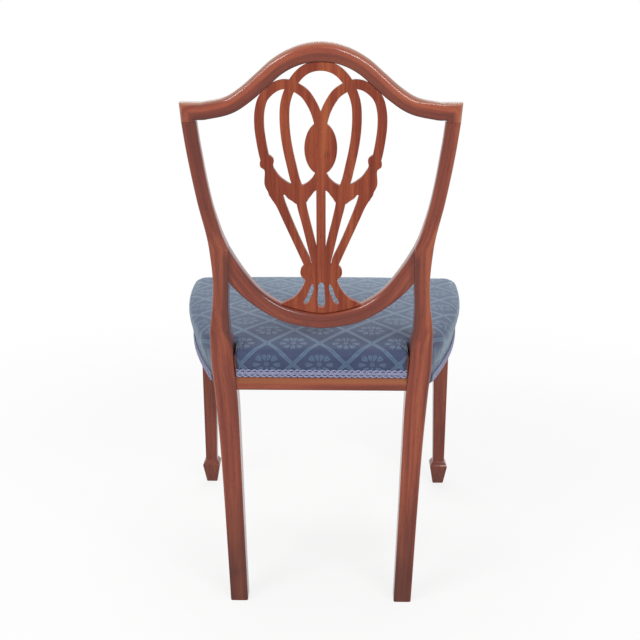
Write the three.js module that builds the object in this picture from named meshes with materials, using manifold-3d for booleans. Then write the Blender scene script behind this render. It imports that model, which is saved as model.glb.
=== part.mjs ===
// A shield back dining chair in polished mahogany with a stuff-over seat.
// Millimetres, +Z up. The front of the chair faces -Y and its back faces +Y.
// "Left" is the sitter's left, which is +X. The origin is on the floor under the chair's middle.
import * as THREE from 'three';
import { mergeVertices } from 'three/addons/utils/BufferGeometryUtils.js';
import Module from 'manifold-3d';

const wasm = await Module();
wasm.setup();

// Fits
const clearance = 0.3;        // gap left wherever two pieces meet
const overrun = 2;            // how far a tenon is sunk in its own piece, and a cut runs past a face

// Seat frame
const railBottomZ = 372;
const railHeight = 60;
const railThickness = 24;
const railTopZ = railBottomZ + railHeight;
const backRailThickness = 27; // at its bare lower strip
const backRailInsetDepth = 3;      // that strip's face, forward of the posts' rear faces
const backRailStripHeight = 13;     // height of the bare strip
const backRailChamferHeight = 9;    // height of the sloping shoulder above it
const backRailRebateDepth = 6;     // depth of the rebate that takes the cover
const frontRailBowDepth = 6;
const frontFacetCount = 12;
const sideRailRearSplay = 0.36;   // sideways run per length where the side rail leaves the post
const sideRailRearReachLength = 112;    // how far that splay carries
const sideRailFrontReachLength = 142;   // how far the front end runs straight back
const tenonThickness = 8;
const tenonLength = 14;
const tenonShoulderHeight = 9;      // rail left above and below a tenon

// Back posts: leg and stile in one piece
const kneeHalfOuter = 185.5;  // half the width over both posts at the seat
const kneeWidth = 37.4;
const kneeDepth = 38;
const footHalfOuter = 157;
const footWidth = 30;
const footDepth = 28;
const footRakeDepth = 54;          // how far the foot stands behind the seat
const footCurve = 1.2;
const throatZ = 545;          // the slim place between seat and shield
const throatHalfOuter = 176;
const throatWidth = 25;
const throatDepth = 30;
const stileWidth = 23;
const stileDepth = 23;

// Shield
const shieldHalfWidth = 213;
const crestEndZ = 859.2;      // top of the crest at its ends
const crestRiseHeight = 89.5; // from there to the top of the crest's middle
const crestShoulderHalfWidth = 180; // half-span of the raised part
const crestEndHeight = 26.7;
const crestMidHeight = 29.2;
const crestSlopeHeight = 26;
const crestDepth = 24;
const crestEarHeight = 3;           // how far the crest's end turns down to meet the stile
const stileTopX = 211.2;
const shieldRake = 0.17;      // backward run per height of the shield
const bendStartZ = 400;       // the posts stand upright below this
const bendEndZ = 530;         // and lean at the full rake above this
const shieldBow = 0.027;      // growth of the plan bow per height
const bowStartZ = 500;
const earCrotchX = 150.6;     // where the lower rail's underside meets the post
const earCrotchZ = 567;
const earTopX = 148.5;        // where its inner edge meets the post
const earTopZ = 624;
const lowerRailBottomZ = 484.5;
const lowerRailHeight = 26.5;
const lowerRailDepth = 24;
const shieldTenonLength = 12;
const stileTenonWidth = 10;
const stileTenonHeight = 14;
const rimEdgeRadius = 8.5;    // rear inner edge of the stiles and the lower rail
const rimArrisRadius = 2.4;
const rimFrontRadius = 4;
const crestEdgeRadius = 9;    // rear upper edge of the crest
const crestEndRadius = 4.5;   // the same at its ends
const crestCrownDepth = 3;    // how far the crest's rear face falls away from its ridge
const stileCrownDepth = 0.8;
const lowerRailCrownDepth = 2.4;

// Splat
const splatThickness = 11;
const splatInsetDepth = 5;         // rear face of the splat, forward of the rim's rear face
const splatHalfWidth = 93;    // to the middle of the outer hoops' bands
const splatBaseZ = 510;
const splatTopZ = 921;
const splatBandWidth = 14.5;
const splatTongueLength = 6;
const splatTongueThickness = 5;
const splatTongueHalfWidth = 13;
const ovalHalfWidth = 25;
const ovalHalfHeight = 41;

// Front legs
const frontLegTopWidth = 32;
const frontLegAnkleWidth = 23.7;
const frontHalfOuter = 256;
const seatDepth = 434;        // from the posts' rear faces to the front legs' front faces
const spadeHeight = 50;
const spadeWidth = 36;
const spadeFootWidth = 22;
const seatCornerRadius = 16;
const arrisRadius = 1.5;

// Upholstery
const webCount = 4;           // strips from front to back
const crossCount = 3;         // strips from side to side
const webWidth = 50;
const webThickness = 1.2;
const webInsetLength = 5;           // web ends stop short of the rails' outer faces
const hessianThickness = 0.8;
const hessianInsetDepth = 9;
const coverThickness = 2;
const stuffingClearance = 0.8;    // between the stuffing and the cover
const coverBulgeDepth = 9.5;
const bulgeRiseHeight = 2.5;          // widest part of the seat above the rails' tops
const seatRollHeight = 18.5;          // from the widest part up to the rolled edge
const seatCrownHeight = 7;          // rise of the middle above the rolled edge
const sideCoverLiftHeight = 2;      // cover's lower edge above the rails' lower edge
const gimpHeight = 15;
const gimpThickness = 2.4;

// Corner blocks
const blockLegLength = 50;
const blockHeight = 36;
const screwDiameter = 4.5;
const screwHeadDiameter = 8.6;
const screwHeadHeight = 3;
const screwSinkDepth = 8.6;        // how deep the head lies in the block's sloping face
const screwBiteLength = 15;         // length of thread in the rail

const mahogany = { color: 0x7a3a26, roughness: 0.3, metalness: 0 };
const splatWood = { color: 0x84402a, roughness: 0.34, metalness: 0 };
const beech = { color: 0xb98c5c, roughness: 0.65, metalness: 0 };
const steel = { color: 0x9a9a98, roughness: 0.4, metalness: 1 };
const webbing = { color: 0xb49a72, roughness: 0.95, metalness: 0 };
const hessian = { color: 0xa98f63, roughness: 0.95, metalness: 0 };
const stuffing = { color: 0xd8d0be, roughness: 1, metalness: 0 };
const damask = { color: 0x4a5f80, roughness: 0.7, metalness: 0 };
const braid = { color: 0x8791b4, roughness: 0.8, metalness: 0 };

const mix = (a, b, share) => a + (b - a) * share;
const clamp = (share) => Math.min(1, Math.max(0, share));
const ease = (share) => share * share * (3 - 2 * share);
const flip = (points, side) => points.map(([x, z]) => [x * side, z]);

// A value that runs smoothly through [place, value] pairs and never overshoots them
function along(pairs, place) {
  const last = pairs.length - 1;
  if (place <= pairs[0][0]) return pairs[0][1];
  if (place >= pairs[last][0]) return pairs[last][1];
  const at = pairs.findIndex(([p]) => p > place) - 1;
  const secant = (i) => (pairs[i + 1][1] - pairs[i][1]) / (pairs[i + 1][0] - pairs[i][0]);
  const slope = (i) => {
    const [a, b] = [secant(Math.max(0, i - 1)), secant(Math.min(last - 1, i))];
    return a * b <= 0 ? 0 : 2 * a * b / (a + b);
  };
  const [p0, v0] = pairs[at];
  const [p1, v1] = pairs[at + 1];
  const run = p1 - p0;
  const t = (place - p0) / run;
  const rise = v1 - v0;
  const m0 = slope(at) * run;
  const m1 = slope(at + 1) * run;
  return v0 + t * m0 + t * t * (3 * rise - 2 * m0 - m1) + t * t * t * (m0 + m1 - 2 * rise);
}

// Points spread evenly along a smooth curve through [a, b] pairs
function curve(points, count) {
  const line = new THREE.CatmullRomCurve3(
    points.map(([a, b]) => new THREE.Vector3(a, b, 0)), false, 'centripetal');
  return line.getPoints(count).map((p) => [p.x, p.y]);
}

// Closed geometry from equal rings of points, ends closed by a fan. Each four-sided facet is
// split along its shorter diagonal, so a mirrored solid is split alike.
function loft(rings) {
  const size = rings[0].length;
  const points = rings.flat();
  const positions = points.flatMap((p) => [p.x, p.y, p.z]);
  const index = [];
  for (let r = 0; r + 1 < rings.length; r++) {
    for (let i = 0; i < size; i++) {
      const j = (i + 1) % size;
      const [a, b, c, d] = [r * size + i, r * size + j, (r + 1) * size + j, (r + 1) * size + i];
      const direct = points[a].distanceTo(points[c]) <= points[b].distanceTo(points[d]);
      index.push(...(direct ? [a, b, c, a, c, d] : [a, b, d, b, c, d]));
    }
  }
  const cap = (first, turned) => {
    const middle = new THREE.Vector3();
    rings[first / size].forEach((p) => middle.addScaledVector(p, 1 / size));
    const centre = positions.length / 3;
    positions.push(middle.x, middle.y, middle.z);
    for (let i = 0; i < size; i++) {
      const [a, b] = [first + i, first + (i + 1) % size];
      index.push(...(turned ? [centre, a, b] : [centre, b, a]));
    }
  };
  cap(0, false);
  cap((rings.length - 1) * size, true);
  return outward(positions, index);
}

// Indexed geometry whose faces point out
function outward(positions, index) {
  const corner = (i) => new THREE.Vector3().fromArray(positions, index[i] * 3);
  let volume = 0;
  for (let i = 0; i < index.length; i += 3) volume += corner(i).dot(corner(i + 1).cross(corner(i + 2)));
  if (volume < 0) {
    for (let i = 0; i < index.length; i += 3) [index[i], index[i + 1]] = [index[i + 1], index[i]];
  }
  const geometry = new THREE.BufferGeometry();
  geometry.setAttribute('position', new THREE.Float32BufferAttribute(positions, 3));
  geometry.setIndex(index);
  return geometry;
}

function toSolid(geometry) {
  const bare = geometry.clone();
  bare.deleteAttribute('normal');
  bare.deleteAttribute('uv');
  const merged = mergeVertices(bare);
  return new wasm.Manifold(new wasm.Mesh({
    numProp: 3,
    vertProperties: new Float32Array(merged.attributes.position.array),
    triVerts: new Uint32Array(merged.index.array),
  }));
}

function toGeometry(solid) {
  const mesh = solid.getMesh();
  return outward(Array.from(mesh.vertProperties), Array.from(mesh.triVerts));
}

const join = (...pieces) => toGeometry(pieces.map(toSolid).reduce((a, b) => a.add(b)));
const cut = (piece, ...tools) =>
  toGeometry(tools.map(toSolid).reduce((a, b) => a.subtract(b), toSolid(piece)));

// Prism of a flat outline of [a, b] pairs; place(a, b, depth) gives each corner
function prism(outline, depth, place) {
  const shape = new THREE.Shape(outline.map(([a, b]) => new THREE.Vector2(a, b)));
  return bend(new THREE.ExtrudeGeometry(shape, { depth, bevelEnabled: false, steps: 1 }), place);
}

function bend(geometry, place) {
  const bare = geometry.clone();
  bare.deleteAttribute('normal');
  bare.deleteAttribute('uv');
  const merged = mergeVertices(bare);
  const spots = merged.attributes.position;
  const positions = [];
  for (let i = 0; i < spots.count; i++) {
    const p = place(spots.getX(i), spots.getY(i), spots.getZ(i));
    positions.push(p.x, p.y, p.z);
  }
  return outward(positions, Array.from(merged.index.array));
}

// Box between two corners
function box(x0, x1, y0, y1, z0, z1) {
  const geometry = new THREE.BoxGeometry(x1 - x0, y1 - y0, z1 - z0);
  return geometry.translate((x0 + x1) / 2, (y0 + y1) / 2, (z0 + z1) / 2);
}

// Section of a bar as [across, deep] places: across is counted from the inner edge and deep
// from the front face. The rear face falls away on both sides of a ridge.
function barSection(width, depth, { outer, inner, front, crown }) {
  const limit = Math.min(width, depth) * 0.49;
  const [ro, ri, rf] = [outer, inner, front].map((radius) => Math.min(radius, limit));
  const arc = (across, deep, radius, quarter) => [0, 1, 2, 3].map((step) => {
    const angle = (quarter + step / 3) * Math.PI / 2;
    return [across + radius * Math.cos(angle), deep + radius * Math.sin(angle)];
  });
  const ring = [
    ...arc(width - ro, depth - ro, ro, 0), [width / 2, depth], ...arc(ri, depth - ri, ri, 1),
    [0, rf], [rf, 0], [width - rf, 0], [width, rf]];
  return ring.map(([across, deep]) =>
    [across, deep - crown * Math.abs(2 * across / width - 1) * deep / depth]);
}

// Rear face of the posts and of the shield's rim at a place in the back
function rearY(x, z) {
  if (z < railBottomZ) return footRakeDepth * (1 - z / railBottomZ) ** footCurve;
  if (z < bendStartZ) return 0;
  const bendRun = bendEndZ - bendStartZ;
  const lean = z < bendEndZ
    ? shieldRake * (z - bendStartZ) ** 2 / (2 * bendRun)
    : shieldRake * (bendRun / 2 + z - bendEndZ);
  const bow = shieldBow * Math.max(0, z - bowStartZ) * (1 - (x / shieldHalfWidth) ** 2);
  return lean + bow;
}

// Ring of a rim member between an outer and an inner point of the shield
function rimRing(outer, inner, depth, section) {
  const width = Math.hypot(outer[0] - inner[0], outer[1] - inner[1]);
  return barSection(width, depth, section).map(([across, deep]) => {
    const x = mix(inner[0], outer[0], across / width);
    const z = mix(inner[1], outer[1], across / width);
    return new THREE.Vector3(x, rearY(x, z) - depth + deep, z);
  });
}

// Edge radii and crown of the rim's members. The crest is rounded above, a stile on its inner edge.
const squareSection = { outer: arrisRadius, inner: arrisRadius, front: arrisRadius, crown: 0 };
const stileSection = {
  outer: rimArrisRadius, inner: rimEdgeRadius, front: rimFrontRadius, crown: stileCrownDepth };
const crestMiddleSection = {
  outer: crestEdgeRadius, inner: rimArrisRadius, front: rimFrontRadius, crown: crestCrownDepth };
const crestEndSection = {
  outer: crestEndRadius, inner: rimArrisRadius, front: rimFrontRadius, crown: stileCrownDepth };
const lowerMiddleSection = {
  outer: rimArrisRadius, inner: rimEdgeRadius, front: rimFrontRadius, crown: lowerRailCrownDepth };
const lowerEndSection = { ...lowerMiddleSection, crown: 0 };
const blendSections = (a, b, share) =>
  Object.fromEntries(Object.keys(a).map((key) => [key, mix(a[key], b[key], share)]));

// Crest

const crestTopShares = [
  [0, 1], [0.14, 0.965], [0.27, 0.87], [0.4, 0.715], [0.53, 0.49], [0.67, 0.25], [0.8, 0.088], [1, 0],
];
const crestInnerX = shieldHalfWidth - stileWidth;
const crestJointZ = crestEndZ - crestEndHeight - crestEarHeight;

// Pairs of upper and lower edge points from the crest's middle to its left shoulder
function crestEdges() {
  const crestPoint = ([a, b]) => [a * crestShoulderHalfWidth, crestEndZ + b * crestRiseHeight];
  const top = curve(crestTopShares.map(crestPoint), 22);
  const heights = [
    [0, crestMidHeight], [crestShoulderHalfWidth / 2, crestSlopeHeight],
    [crestShoulderHalfWidth, crestEndHeight]];
  return top.map(([x, z], i) => {
    const before = top[Math.max(0, i - 1)];
    const after = top[Math.min(top.length - 1, i + 1)];
    const run = i === 0 ? [1, 0] : [after[0] - before[0], after[1] - before[1]];
    const reach = along(heights, x) / Math.hypot(...run);
    return [[x, z], [x + run[1] * reach, z - run[0] * reach]];
  });
}

function crestRail() {
  const rings = crestEdges().map(([upper, lower]) => {
    const share = upper[0] / crestShoulderHalfWidth;
    const section = blendSections(crestMiddleSection, crestEndSection, ease(clamp((share - 0.7) / 0.3)));
    return rimRing(upper, lower, mix(crestDepth, stileDepth, share), section);
  });
  const corner = [[shieldHalfWidth, crestEndZ], [crestInnerX, crestEndZ - crestEndHeight]];
  const end = [[stileTopX, crestJointZ], [stileTopX - stileWidth, crestJointZ]];
  rings.push(rimRing(...corner, stileDepth, crestEndSection));
  rings.push(rimRing(...end, stileDepth, stileSection));
  const mirrored = rings.slice(1).reverse().map((ring) => ring.map((p) => new THREE.Vector3(-p.x, p.y, p.z)));
  const bar = loft([...mirrored, ...rings]);
  const mortises = [-1, 1].map((side) => stileTenon(side, clearance));
  return cut(bar, ...mortises, ...splatTopTongues(clearance));
}

// Tenon on a stile's top, or with a gap the mortise for it
function stileTenon(side, gap) {
  const middle = side * (stileTopX - stileWidth / 2);
  const half = stileTenonWidth / 2 + gap;
  const rear = rearY(middle, crestJointZ) - stileDepth / 2;
  return box(middle - half, middle + half, rear - half, rear + half,
    crestJointZ - overrun, crestJointZ + stileTenonHeight + gap);
}

// Back posts

const postOuter = [
  [0, footHalfOuter],
  [railBottomZ * 0.73, mix(footHalfOuter, kneeHalfOuter, 0.55)],
  [railBottomZ, mix(footHalfOuter, kneeHalfOuter, 0.83)],
  [railTopZ, kneeHalfOuter],
  [mix(railTopZ, throatZ, 0.34), kneeHalfOuter],
  [mix(railTopZ, throatZ, 0.6), mix(kneeHalfOuter, throatHalfOuter, 0.34)],
  [mix(railTopZ, throatZ, 0.82), mix(kneeHalfOuter, throatHalfOuter, 0.7)],
  [mix(throatZ, earTopZ, 0.3), throatHalfOuter],
  [earTopZ, mix(throatHalfOuter, stileTopX, 0.09)],
  [mix(earTopZ, crestJointZ, 0.4), mix(throatHalfOuter, stileTopX, 0.523)],
  [mix(earTopZ, crestJointZ, 0.77), mix(throatHalfOuter, stileTopX, 0.85)],
  [crestJointZ, stileTopX],
];
const lowerPostWidth = [
  [0, footWidth],
  [railBottomZ * 0.4, mix(footWidth, kneeWidth, 0.2)],
  [railBottomZ * 0.72, mix(footWidth, kneeWidth, 0.54)],
  [railBottomZ, kneeWidth],
  [mix(railTopZ, throatZ, 0.16), kneeWidth],
  [mix(railTopZ, throatZ, 0.34), mix(kneeWidth, throatWidth, 0.274)],
  [mix(railTopZ, throatZ, 0.48), mix(kneeWidth, throatWidth, 0.516)],
  [mix(railTopZ, throatZ, 0.6), mix(kneeWidth, throatWidth, 0.677)],
  [mix(railTopZ, throatZ, 0.85), mix(kneeWidth, throatWidth, 0.976)],
  [throatZ, throatWidth],
  [earCrotchZ, throatHalfOuter - earCrotchX - clearance],
];
const loopShares = [[0, 0], [0.1, 0.2], [0.23, 0.387], [0.36, 0.546], [0.49, 0.669], [0.62, 0.772],
  [0.75, 0.859], [0.87, 0.937], [1, 1]];
const postDepth = [
  [0, footDepth], [railBottomZ, kneeDepth], [railTopZ, kneeDepth],
  [bendEndZ, throatDepth], [earTopZ, throatDepth], [mix(earTopZ, crestJointZ, 0.4), stileDepth],
  [crestJointZ, stileDepth],
];

function postInnerX(z) {
  if (z <= earCrotchZ) return along(postOuter, z) - along(lowerPostWidth, z);
  if (z <= earTopZ) return clearance + mix(earCrotchX, earTopX, (z - earCrotchZ) / (earTopZ - earCrotchZ));
  const loop = loopShares.map(([up, out]) => [
    mix(earTopZ, crestJointZ, up), mix(earTopX + clearance, stileTopX - stileWidth, out)]);
  return along(loop, z);
}

// How far the lower rail's rounded edge has fallen at a height below its inner edge
function edgeFall(below) {
  if (below >= rimEdgeRadius) return 0;
  return rimEdgeRadius - Math.sqrt(rimEdgeRadius ** 2 - (rimEdgeRadius - below) ** 2);
}

// A post is square below the lower rail, follows that rail's edge and is rounded above it
function postSection(z) {
  if (z < earCrotchZ) return squareSection;
  if (z < earTopZ) return { ...squareSection, inner: Math.max(clearance, edgeFall(earTopZ - z)) };
  const section = blendSections(squareSection, stileSection, ease(clamp((z - earTopZ) / (2 * throatDepth))));
  return { ...section, inner: rimEdgeRadius };
}

function backPost(side) {
  const levels = [
    ...[0, 0.27, 0.54, 0.8, 1].map((share) => share * railBottomZ),
    ...[0.5, 1].map((share) => mix(railBottomZ, railTopZ, share)),
    ...[0.2, 0.34, 0.47, 0.6, 0.73, 0.87, 1].map((share) => mix(railTopZ, throatZ, share)),
    ...[0, 0.5, 1].map((share) => mix(earCrotchZ, earTopZ - rimEdgeRadius, share)),
    earTopZ - rimEdgeRadius * 0.35, earTopZ,
    ...[0.05, 0.12, 0.2, 0.3, 0.42, 0.56, 0.7, 0.85].map((share) => mix(earTopZ, crestJointZ, share)),
    crestJointZ - clearance,
  ];
  const rings = levels.map((z) => {
    const [outer, inner] = [along(postOuter, z), postInnerX(z)];
    return rimRing([side * outer, z], [side * inner, z], along(postDepth, z), postSection(z));
  });
  const mortises = [sideRailTenon(side, false, clearance), backRailTenon(side, clearance),
    lowerRailTenon(side, clearance)];
  return cut(join(loft(rings), stileTenon(side, 0)), ...mortises);
}

// Lower rail of the shield

const lowerOuterShares = [
  [0, 0], [0.23, 0.046], [0.415, 0.137], [0.56, 0.27], [0.69, 0.4255], [0.81, 0.6085], [0.905, 0.785],
  [1, 1],
];
const lowerInnerShares = [
  [0, 0], [0.195, 0.035], [0.404, 0.12], [0.565, 0.24], [0.701, 0.4], [0.821, 0.61], [0.914, 0.8], [1, 1],
];

// Pairs of under edge and inner edge points from the lower rail's middle to its left end
function lowerRailEdges() {
  const under = lowerOuterShares.map(([a, b]) => [a * earCrotchX, mix(lowerRailBottomZ, earCrotchZ, b)]);
  const innerZ = lowerRailBottomZ + lowerRailHeight;
  const over = lowerInnerShares.map(([a, b]) => [a * earTopX, mix(innerZ, earTopZ, b)]);
  const inner = curve(over, 16);
  return curve(under, 16).map((point, i) => [point, inner[i]]);
}

function shieldLowerRail() {
  const edges = lowerRailEdges();
  const rings = edges.map(([under, inner], i) => {
    const share = i / (edges.length - 1);
    const section = blendSections(lowerMiddleSection, lowerEndSection, ease(clamp(2 * share - 1)));
    return rimRing(under, inner, mix(lowerRailDepth, throatDepth, share * share), section);
  });
  const mirrored = rings.slice(1).reverse().map((ring) => ring.map((p) => new THREE.Vector3(-p.x, p.y, p.z)));
  const bar = loft([...mirrored, ...rings]);
  const tenons = [-1, 1].map((side) => lowerRailTenon(side, 0));
  return cut(join(bar, ...tenons), splatBottomTongue(clearance));
}

// Stub tenon that holds the lower rail in a post, raked like the shield
function lowerRailTenon(side, gap) {
  const rootX = Math.min(earCrotchX, earTopX) - overrun;
  const tipX = Math.max(earCrotchX, earTopX) + shieldTenonLength + gap;
  const [low, high] = [mix(earCrotchZ, earTopZ, 0.28) - gap, mix(earCrotchZ, earTopZ, 0.72) + gap];
  const outline = [[rootX, low], [tipX, low], [tipX, high], [rootX, high]];
  const thickness = tenonThickness + 2 * gap;
  return prism(flip(outline, side), thickness, (x, z, deep) => new THREE.Vector3(
    x, rearY(earCrotchX, z) - throatDepth / 2 - thickness / 2 + deep, z));
}

// Pierced splat: bands drawn flat in [x, z], joined, then leaned back with the shield

const splatHeight = splatTopZ - splatBaseZ;
const splatPoint = ([a, b]) => [a * splatHalfWidth, splatBaseZ + b * splatHeight];
const splatMiddleZ = splatBaseZ + 0.68 * splatHeight;
const neckHalf = splatBandWidth * 0.6;
const barHalf = splatBandWidth * 0.5;

// Middle lines of the hoops
const sideHoopShares = [
  [0.915, 0.636], [0.935, 0.655], [0.972, 0.705], [0.998, 0.765], [0.985, 0.82], [0.925, 0.865],
  [0.81, 0.895], [0.665, 0.914], [0.53, 0.917], [0.39, 0.905], [0.255, 0.884], [0.155, 0.852],
  [0.09, 0.822], [0.045, 0.79], [0, 0.745],
];
const middleHoopHalfShares = [
  [0.36, 0.515], [0.424, 0.555], [0.479, 0.61], [0.534, 0.67], [0.572, 0.73], [0.586, 0.79],
  [0.57, 0.845], [0.51, 0.89], [0.4, 0.936], [0.25, 0.968], [0.1, 0.981], [0, 0.983],
];
// Leaf at a side hoop's foot with a lobe on each side of it, and the swag from there to the middle
const leafShares = [
  [-0.05, 0.59], [0.1, 0.582], [0.135, 0.569], [0.177, 0.558], [0.2385, 0.546], [0.33, 0.537],
  [0.43, 0.537], [0.533, 0.546], [0.61, 0.558], [0.67, 0.569], [0.7135, 0.581], [0.7475, 0.593],
  [0.778, 0.604], [0.7895, 0.6155], [0.779, 0.625], [0.777, 0.634], [0.7885, 0.643], [0.82, 0.65],
  [0.862, 0.656], [0.93, 0.66], [0.98, 0.647], [0.991, 0.637], [1.003, 0.628], [1.0065, 0.617],
  [0.995, 0.608], [0.9645, 0.603], [0.935, 0.597], [0.9285, 0.588], [0.9385, 0.558], [0.9395, 0.546],
  [0.9305, 0.534], [0.9085, 0.522], [0.8845, 0.512], [0.872, 0.5], [0.8375, 0.487], [0.803, 0.475],
  [0.7, 0.48], [0.615, 0.501], [0.5585, 0.487], [0.482, 0.475], [0.411, 0.463], [0.33, 0.458],
  [0.25, 0.469], [0.1985, 0.487], [0.157, 0.499], [0.1235, 0.51], [0.083, 0.518], [-0.05, 0.525],
];
const outerBarShares = [
  [0.86, 0.5], [0.803, 0.475], [0.7435, 0.451], [0.6465, 0.398], [0.555, 0.349], [0.462, 0.299],
  [0.369, 0.249], [0.302, 0.212], [0.17, 0.212], [0.185, 0.23], [0.2125, 0.249], [0.312, 0.299],
  [0.403, 0.349], [0.4865, 0.398], [0.572, 0.451], [0.6065, 0.475], [0.64, 0.505],
];
const innerBarShares = [
  [0.42, 0.48], [0.3985, 0.451], [0.342, 0.398], [0.2905, 0.349], [0.2425, 0.299], [0.194, 0.249],
  [0.172, 0.228], [0.162, 0.212], [0.04, 0.212], [0.075, 0.28], [0.0855, 0.296], [0.1055, 0.316],
  [0.138, 0.349], [0.1885, 0.398], [0.238, 0.451], [0.26, 0.49],
];
const footLobeShares = [
  [0, 0.214], [0.302, 0.214], [0.315, 0.206], [0.342, 0.199], [0.36, 0.187], [0.363, 0.177],
  [0.352, 0.167], [0.33, 0.159], [0.292, 0.152], [0.279, 0.146], [0.287, 0.138], [0.312, 0.124],
  [0.345, 0.108], [0.385, 0.095], [0.46, 0.075], [0.54, 0.062], [0.64, 0.051], [0.675, 0.046],
  [0.69, 0.038],
];
const footUnderShares = [[0.69, 0.034], [0.43, 0.0125], [0.2, 0.0015], [0, 0]];

// Outline of a band of even width along a curve of shares
function bandOutline(shares, width, count) {
  const middle = curve(shares.map(splatPoint), count);
  const edge = (sign) => middle.map(([x, z], i) => {
    const a = middle[Math.max(0, i - 1)];
    const b = middle[Math.min(middle.length - 1, i + 1)];
    const [dx, dz] = [b[0] - a[0], b[1] - a[1]];
    const reach = sign * width / 2 / Math.hypot(dx, dz);
    return [x - dz * reach, z + dx * reach];
  });
  return [...edge(1), ...edge(-1).reverse()];
}

const ellipse = (x, z, halfWidth, halfHeight, count) => Array.from({ length: count }, (_, i) => {
  const angle = 2 * Math.PI * i / count;
  return [x + halfWidth * Math.cos(angle), z + halfHeight * Math.sin(angle)];
});

function splatPlanks() {
  const planks = [];
  const pair = (outline) => planks.push(outline, flip(outline, -1));
  const middleHoopShares = [...middleHoopHalfShares, ...flip(middleHoopHalfShares, -1).reverse().slice(1)];
  planks.push(bandOutline(middleHoopShares, splatBandWidth, 46));
  pair(bandOutline(sideHoopShares, splatBandWidth, 30));
  pair(leafShares.map(splatPoint));
  pair(outerBarShares.map(splatPoint));
  pair(innerBarShares.map(splatPoint));
  planks.push(ellipse(0, splatMiddleZ, ovalHalfWidth, ovalHalfHeight, 28));
  const [, headZ] = splatPoint([0, 0.8]);
  const [, waistZ] = splatPoint([0, 0.2]);
  const [, swagZ] = splatPoint([0, 0.55]);
  planks.push([[-neckHalf, swagZ], [neckHalf, swagZ], [neckHalf * 1.2, headZ], [-neckHalf * 1.2, headZ]]);
  planks.push([[-barHalf, waistZ], [barHalf, waistZ], [barHalf, swagZ], [-barHalf, swagZ]]);
  planks.push(splatFoot());
  return planks;
}

function splatFoot() {
  const under = curve(footUnderShares.map(splatPoint), 8);
  const half = [...footLobeShares.map(splatPoint), ...under];
  return [...half, ...flip(half, -1).reverse()].filter(([x, z], i, all) => {
    const [px, pz] = all[(i + all.length - 1) % all.length];
    return Math.hypot(x - px, z - pz) > clearance;
  });
}

// Openings in the foot: a straight drop in the middle and a curved one on each side
function splatSlots() {
  const drop = [[0, 0.138], [0.045, 0.13], [0.055, 0.1], [0.068, 0.055], [0.05, 0.032], [0, 0.026]];
  const half = curve(drop.map(splatPoint), 12);
  const middle = [...half, ...flip(half, -1).reverse().slice(1, -1)];
  const hook = [
    [-0.16, 0.13], [-0.205, 0.108], [-0.25, 0.077], [-0.315, 0.048], [-0.28, 0.042], [-0.225, 0.05],
    [-0.17, 0.08], [-0.135, 0.105], [-0.145, 0.128],
  ];
  const side = curve([...hook, hook[0]].map(splatPoint), 24).slice(0, -1);
  return [middle, side, flip(side, -1)];
}

// Place in the leaning splat; deep runs from its front face to its rear face
function splatPlace(x, z, deep) {
  const slope = shieldRake + shieldBow;
  const rear = rearY(0, bendEndZ) + slope * (z - bendEndZ) - splatInsetDepth;
  return new THREE.Vector3(x, rear - splatThickness + deep, z);
}

function tongue(x, zLow, zHigh, half, gap) {
  const thickness = splatTongueThickness + 2 * gap;
  const [left, right] = [x - half - gap, x + half + gap];
  const outline = [[left, zLow], [right, zLow], [right, zHigh], [left, zHigh]];
  return prism(outline, thickness, (a, b, deep) => splatPlace(a, b, (splatThickness - thickness) / 2 + deep));
}

const splatBottomTongue = (gap) =>
  tongue(0, splatBaseZ - splatTongueLength - gap, splatBaseZ + overrun, splatTongueHalfWidth, gap);

function splatTopTongues(gap) {
  const [sideX, sideZ] = splatPoint([0.735, 0.923]);
  const half = splatTongueHalfWidth / 2;
  return [
    tongue(0, splatTopZ - splatBandWidth / 2, splatTopZ + splatTongueLength + gap, half, gap),
    ...[-1, 1].map((side) =>
      tongue(side * sideX, sideZ - splatBandWidth / 2, sideZ + splatTongueLength + gap, half, gap)),
  ];
}

// Outlines of the crest and the lower rail with a clearance, which shape the splat's two ends
function splatStops() {
  const lower = crestEdges().map(([, [x, z]]) => [x, z - clearance]);
  const aboveZ = crestEndZ + 2 * crestRiseHeight;
  const above = [[crestInnerX, aboveZ], [-crestInnerX, aboveZ]];
  const inner = lowerRailEdges().map(([, [x, z]]) => [x, z + clearance]);
  const belowZ = lowerRailBottomZ - lowerRailHeight;
  const below = [[earTopX, belowZ], [-earTopX, belowZ]];
  return [[...flip(lower, -1).reverse().slice(0, -1), ...lower, ...above],
    [...flip(inner, -1).reverse().slice(0, -1), ...inner, ...below]];
}

function piercedSplat() {
  const flat = (outline) => prism(outline, splatThickness, (a, b, deep) => new THREE.Vector3(a, b, deep));
  const plate = cut(join(...splatPlanks().map(flat)), ...[...splatSlots(), ...splatStops()].map((outline) =>
    prism(outline, splatThickness + 2 * overrun, (a, b, deep) => new THREE.Vector3(a, b, deep - overrun))));
  return join(bend(plate, splatPlace), splatBottomTongue(0), ...splatTopTongues(0));
}

// Seat rails. Plan places are [x, d], where d is measured forward from the posts' rear faces.

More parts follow.
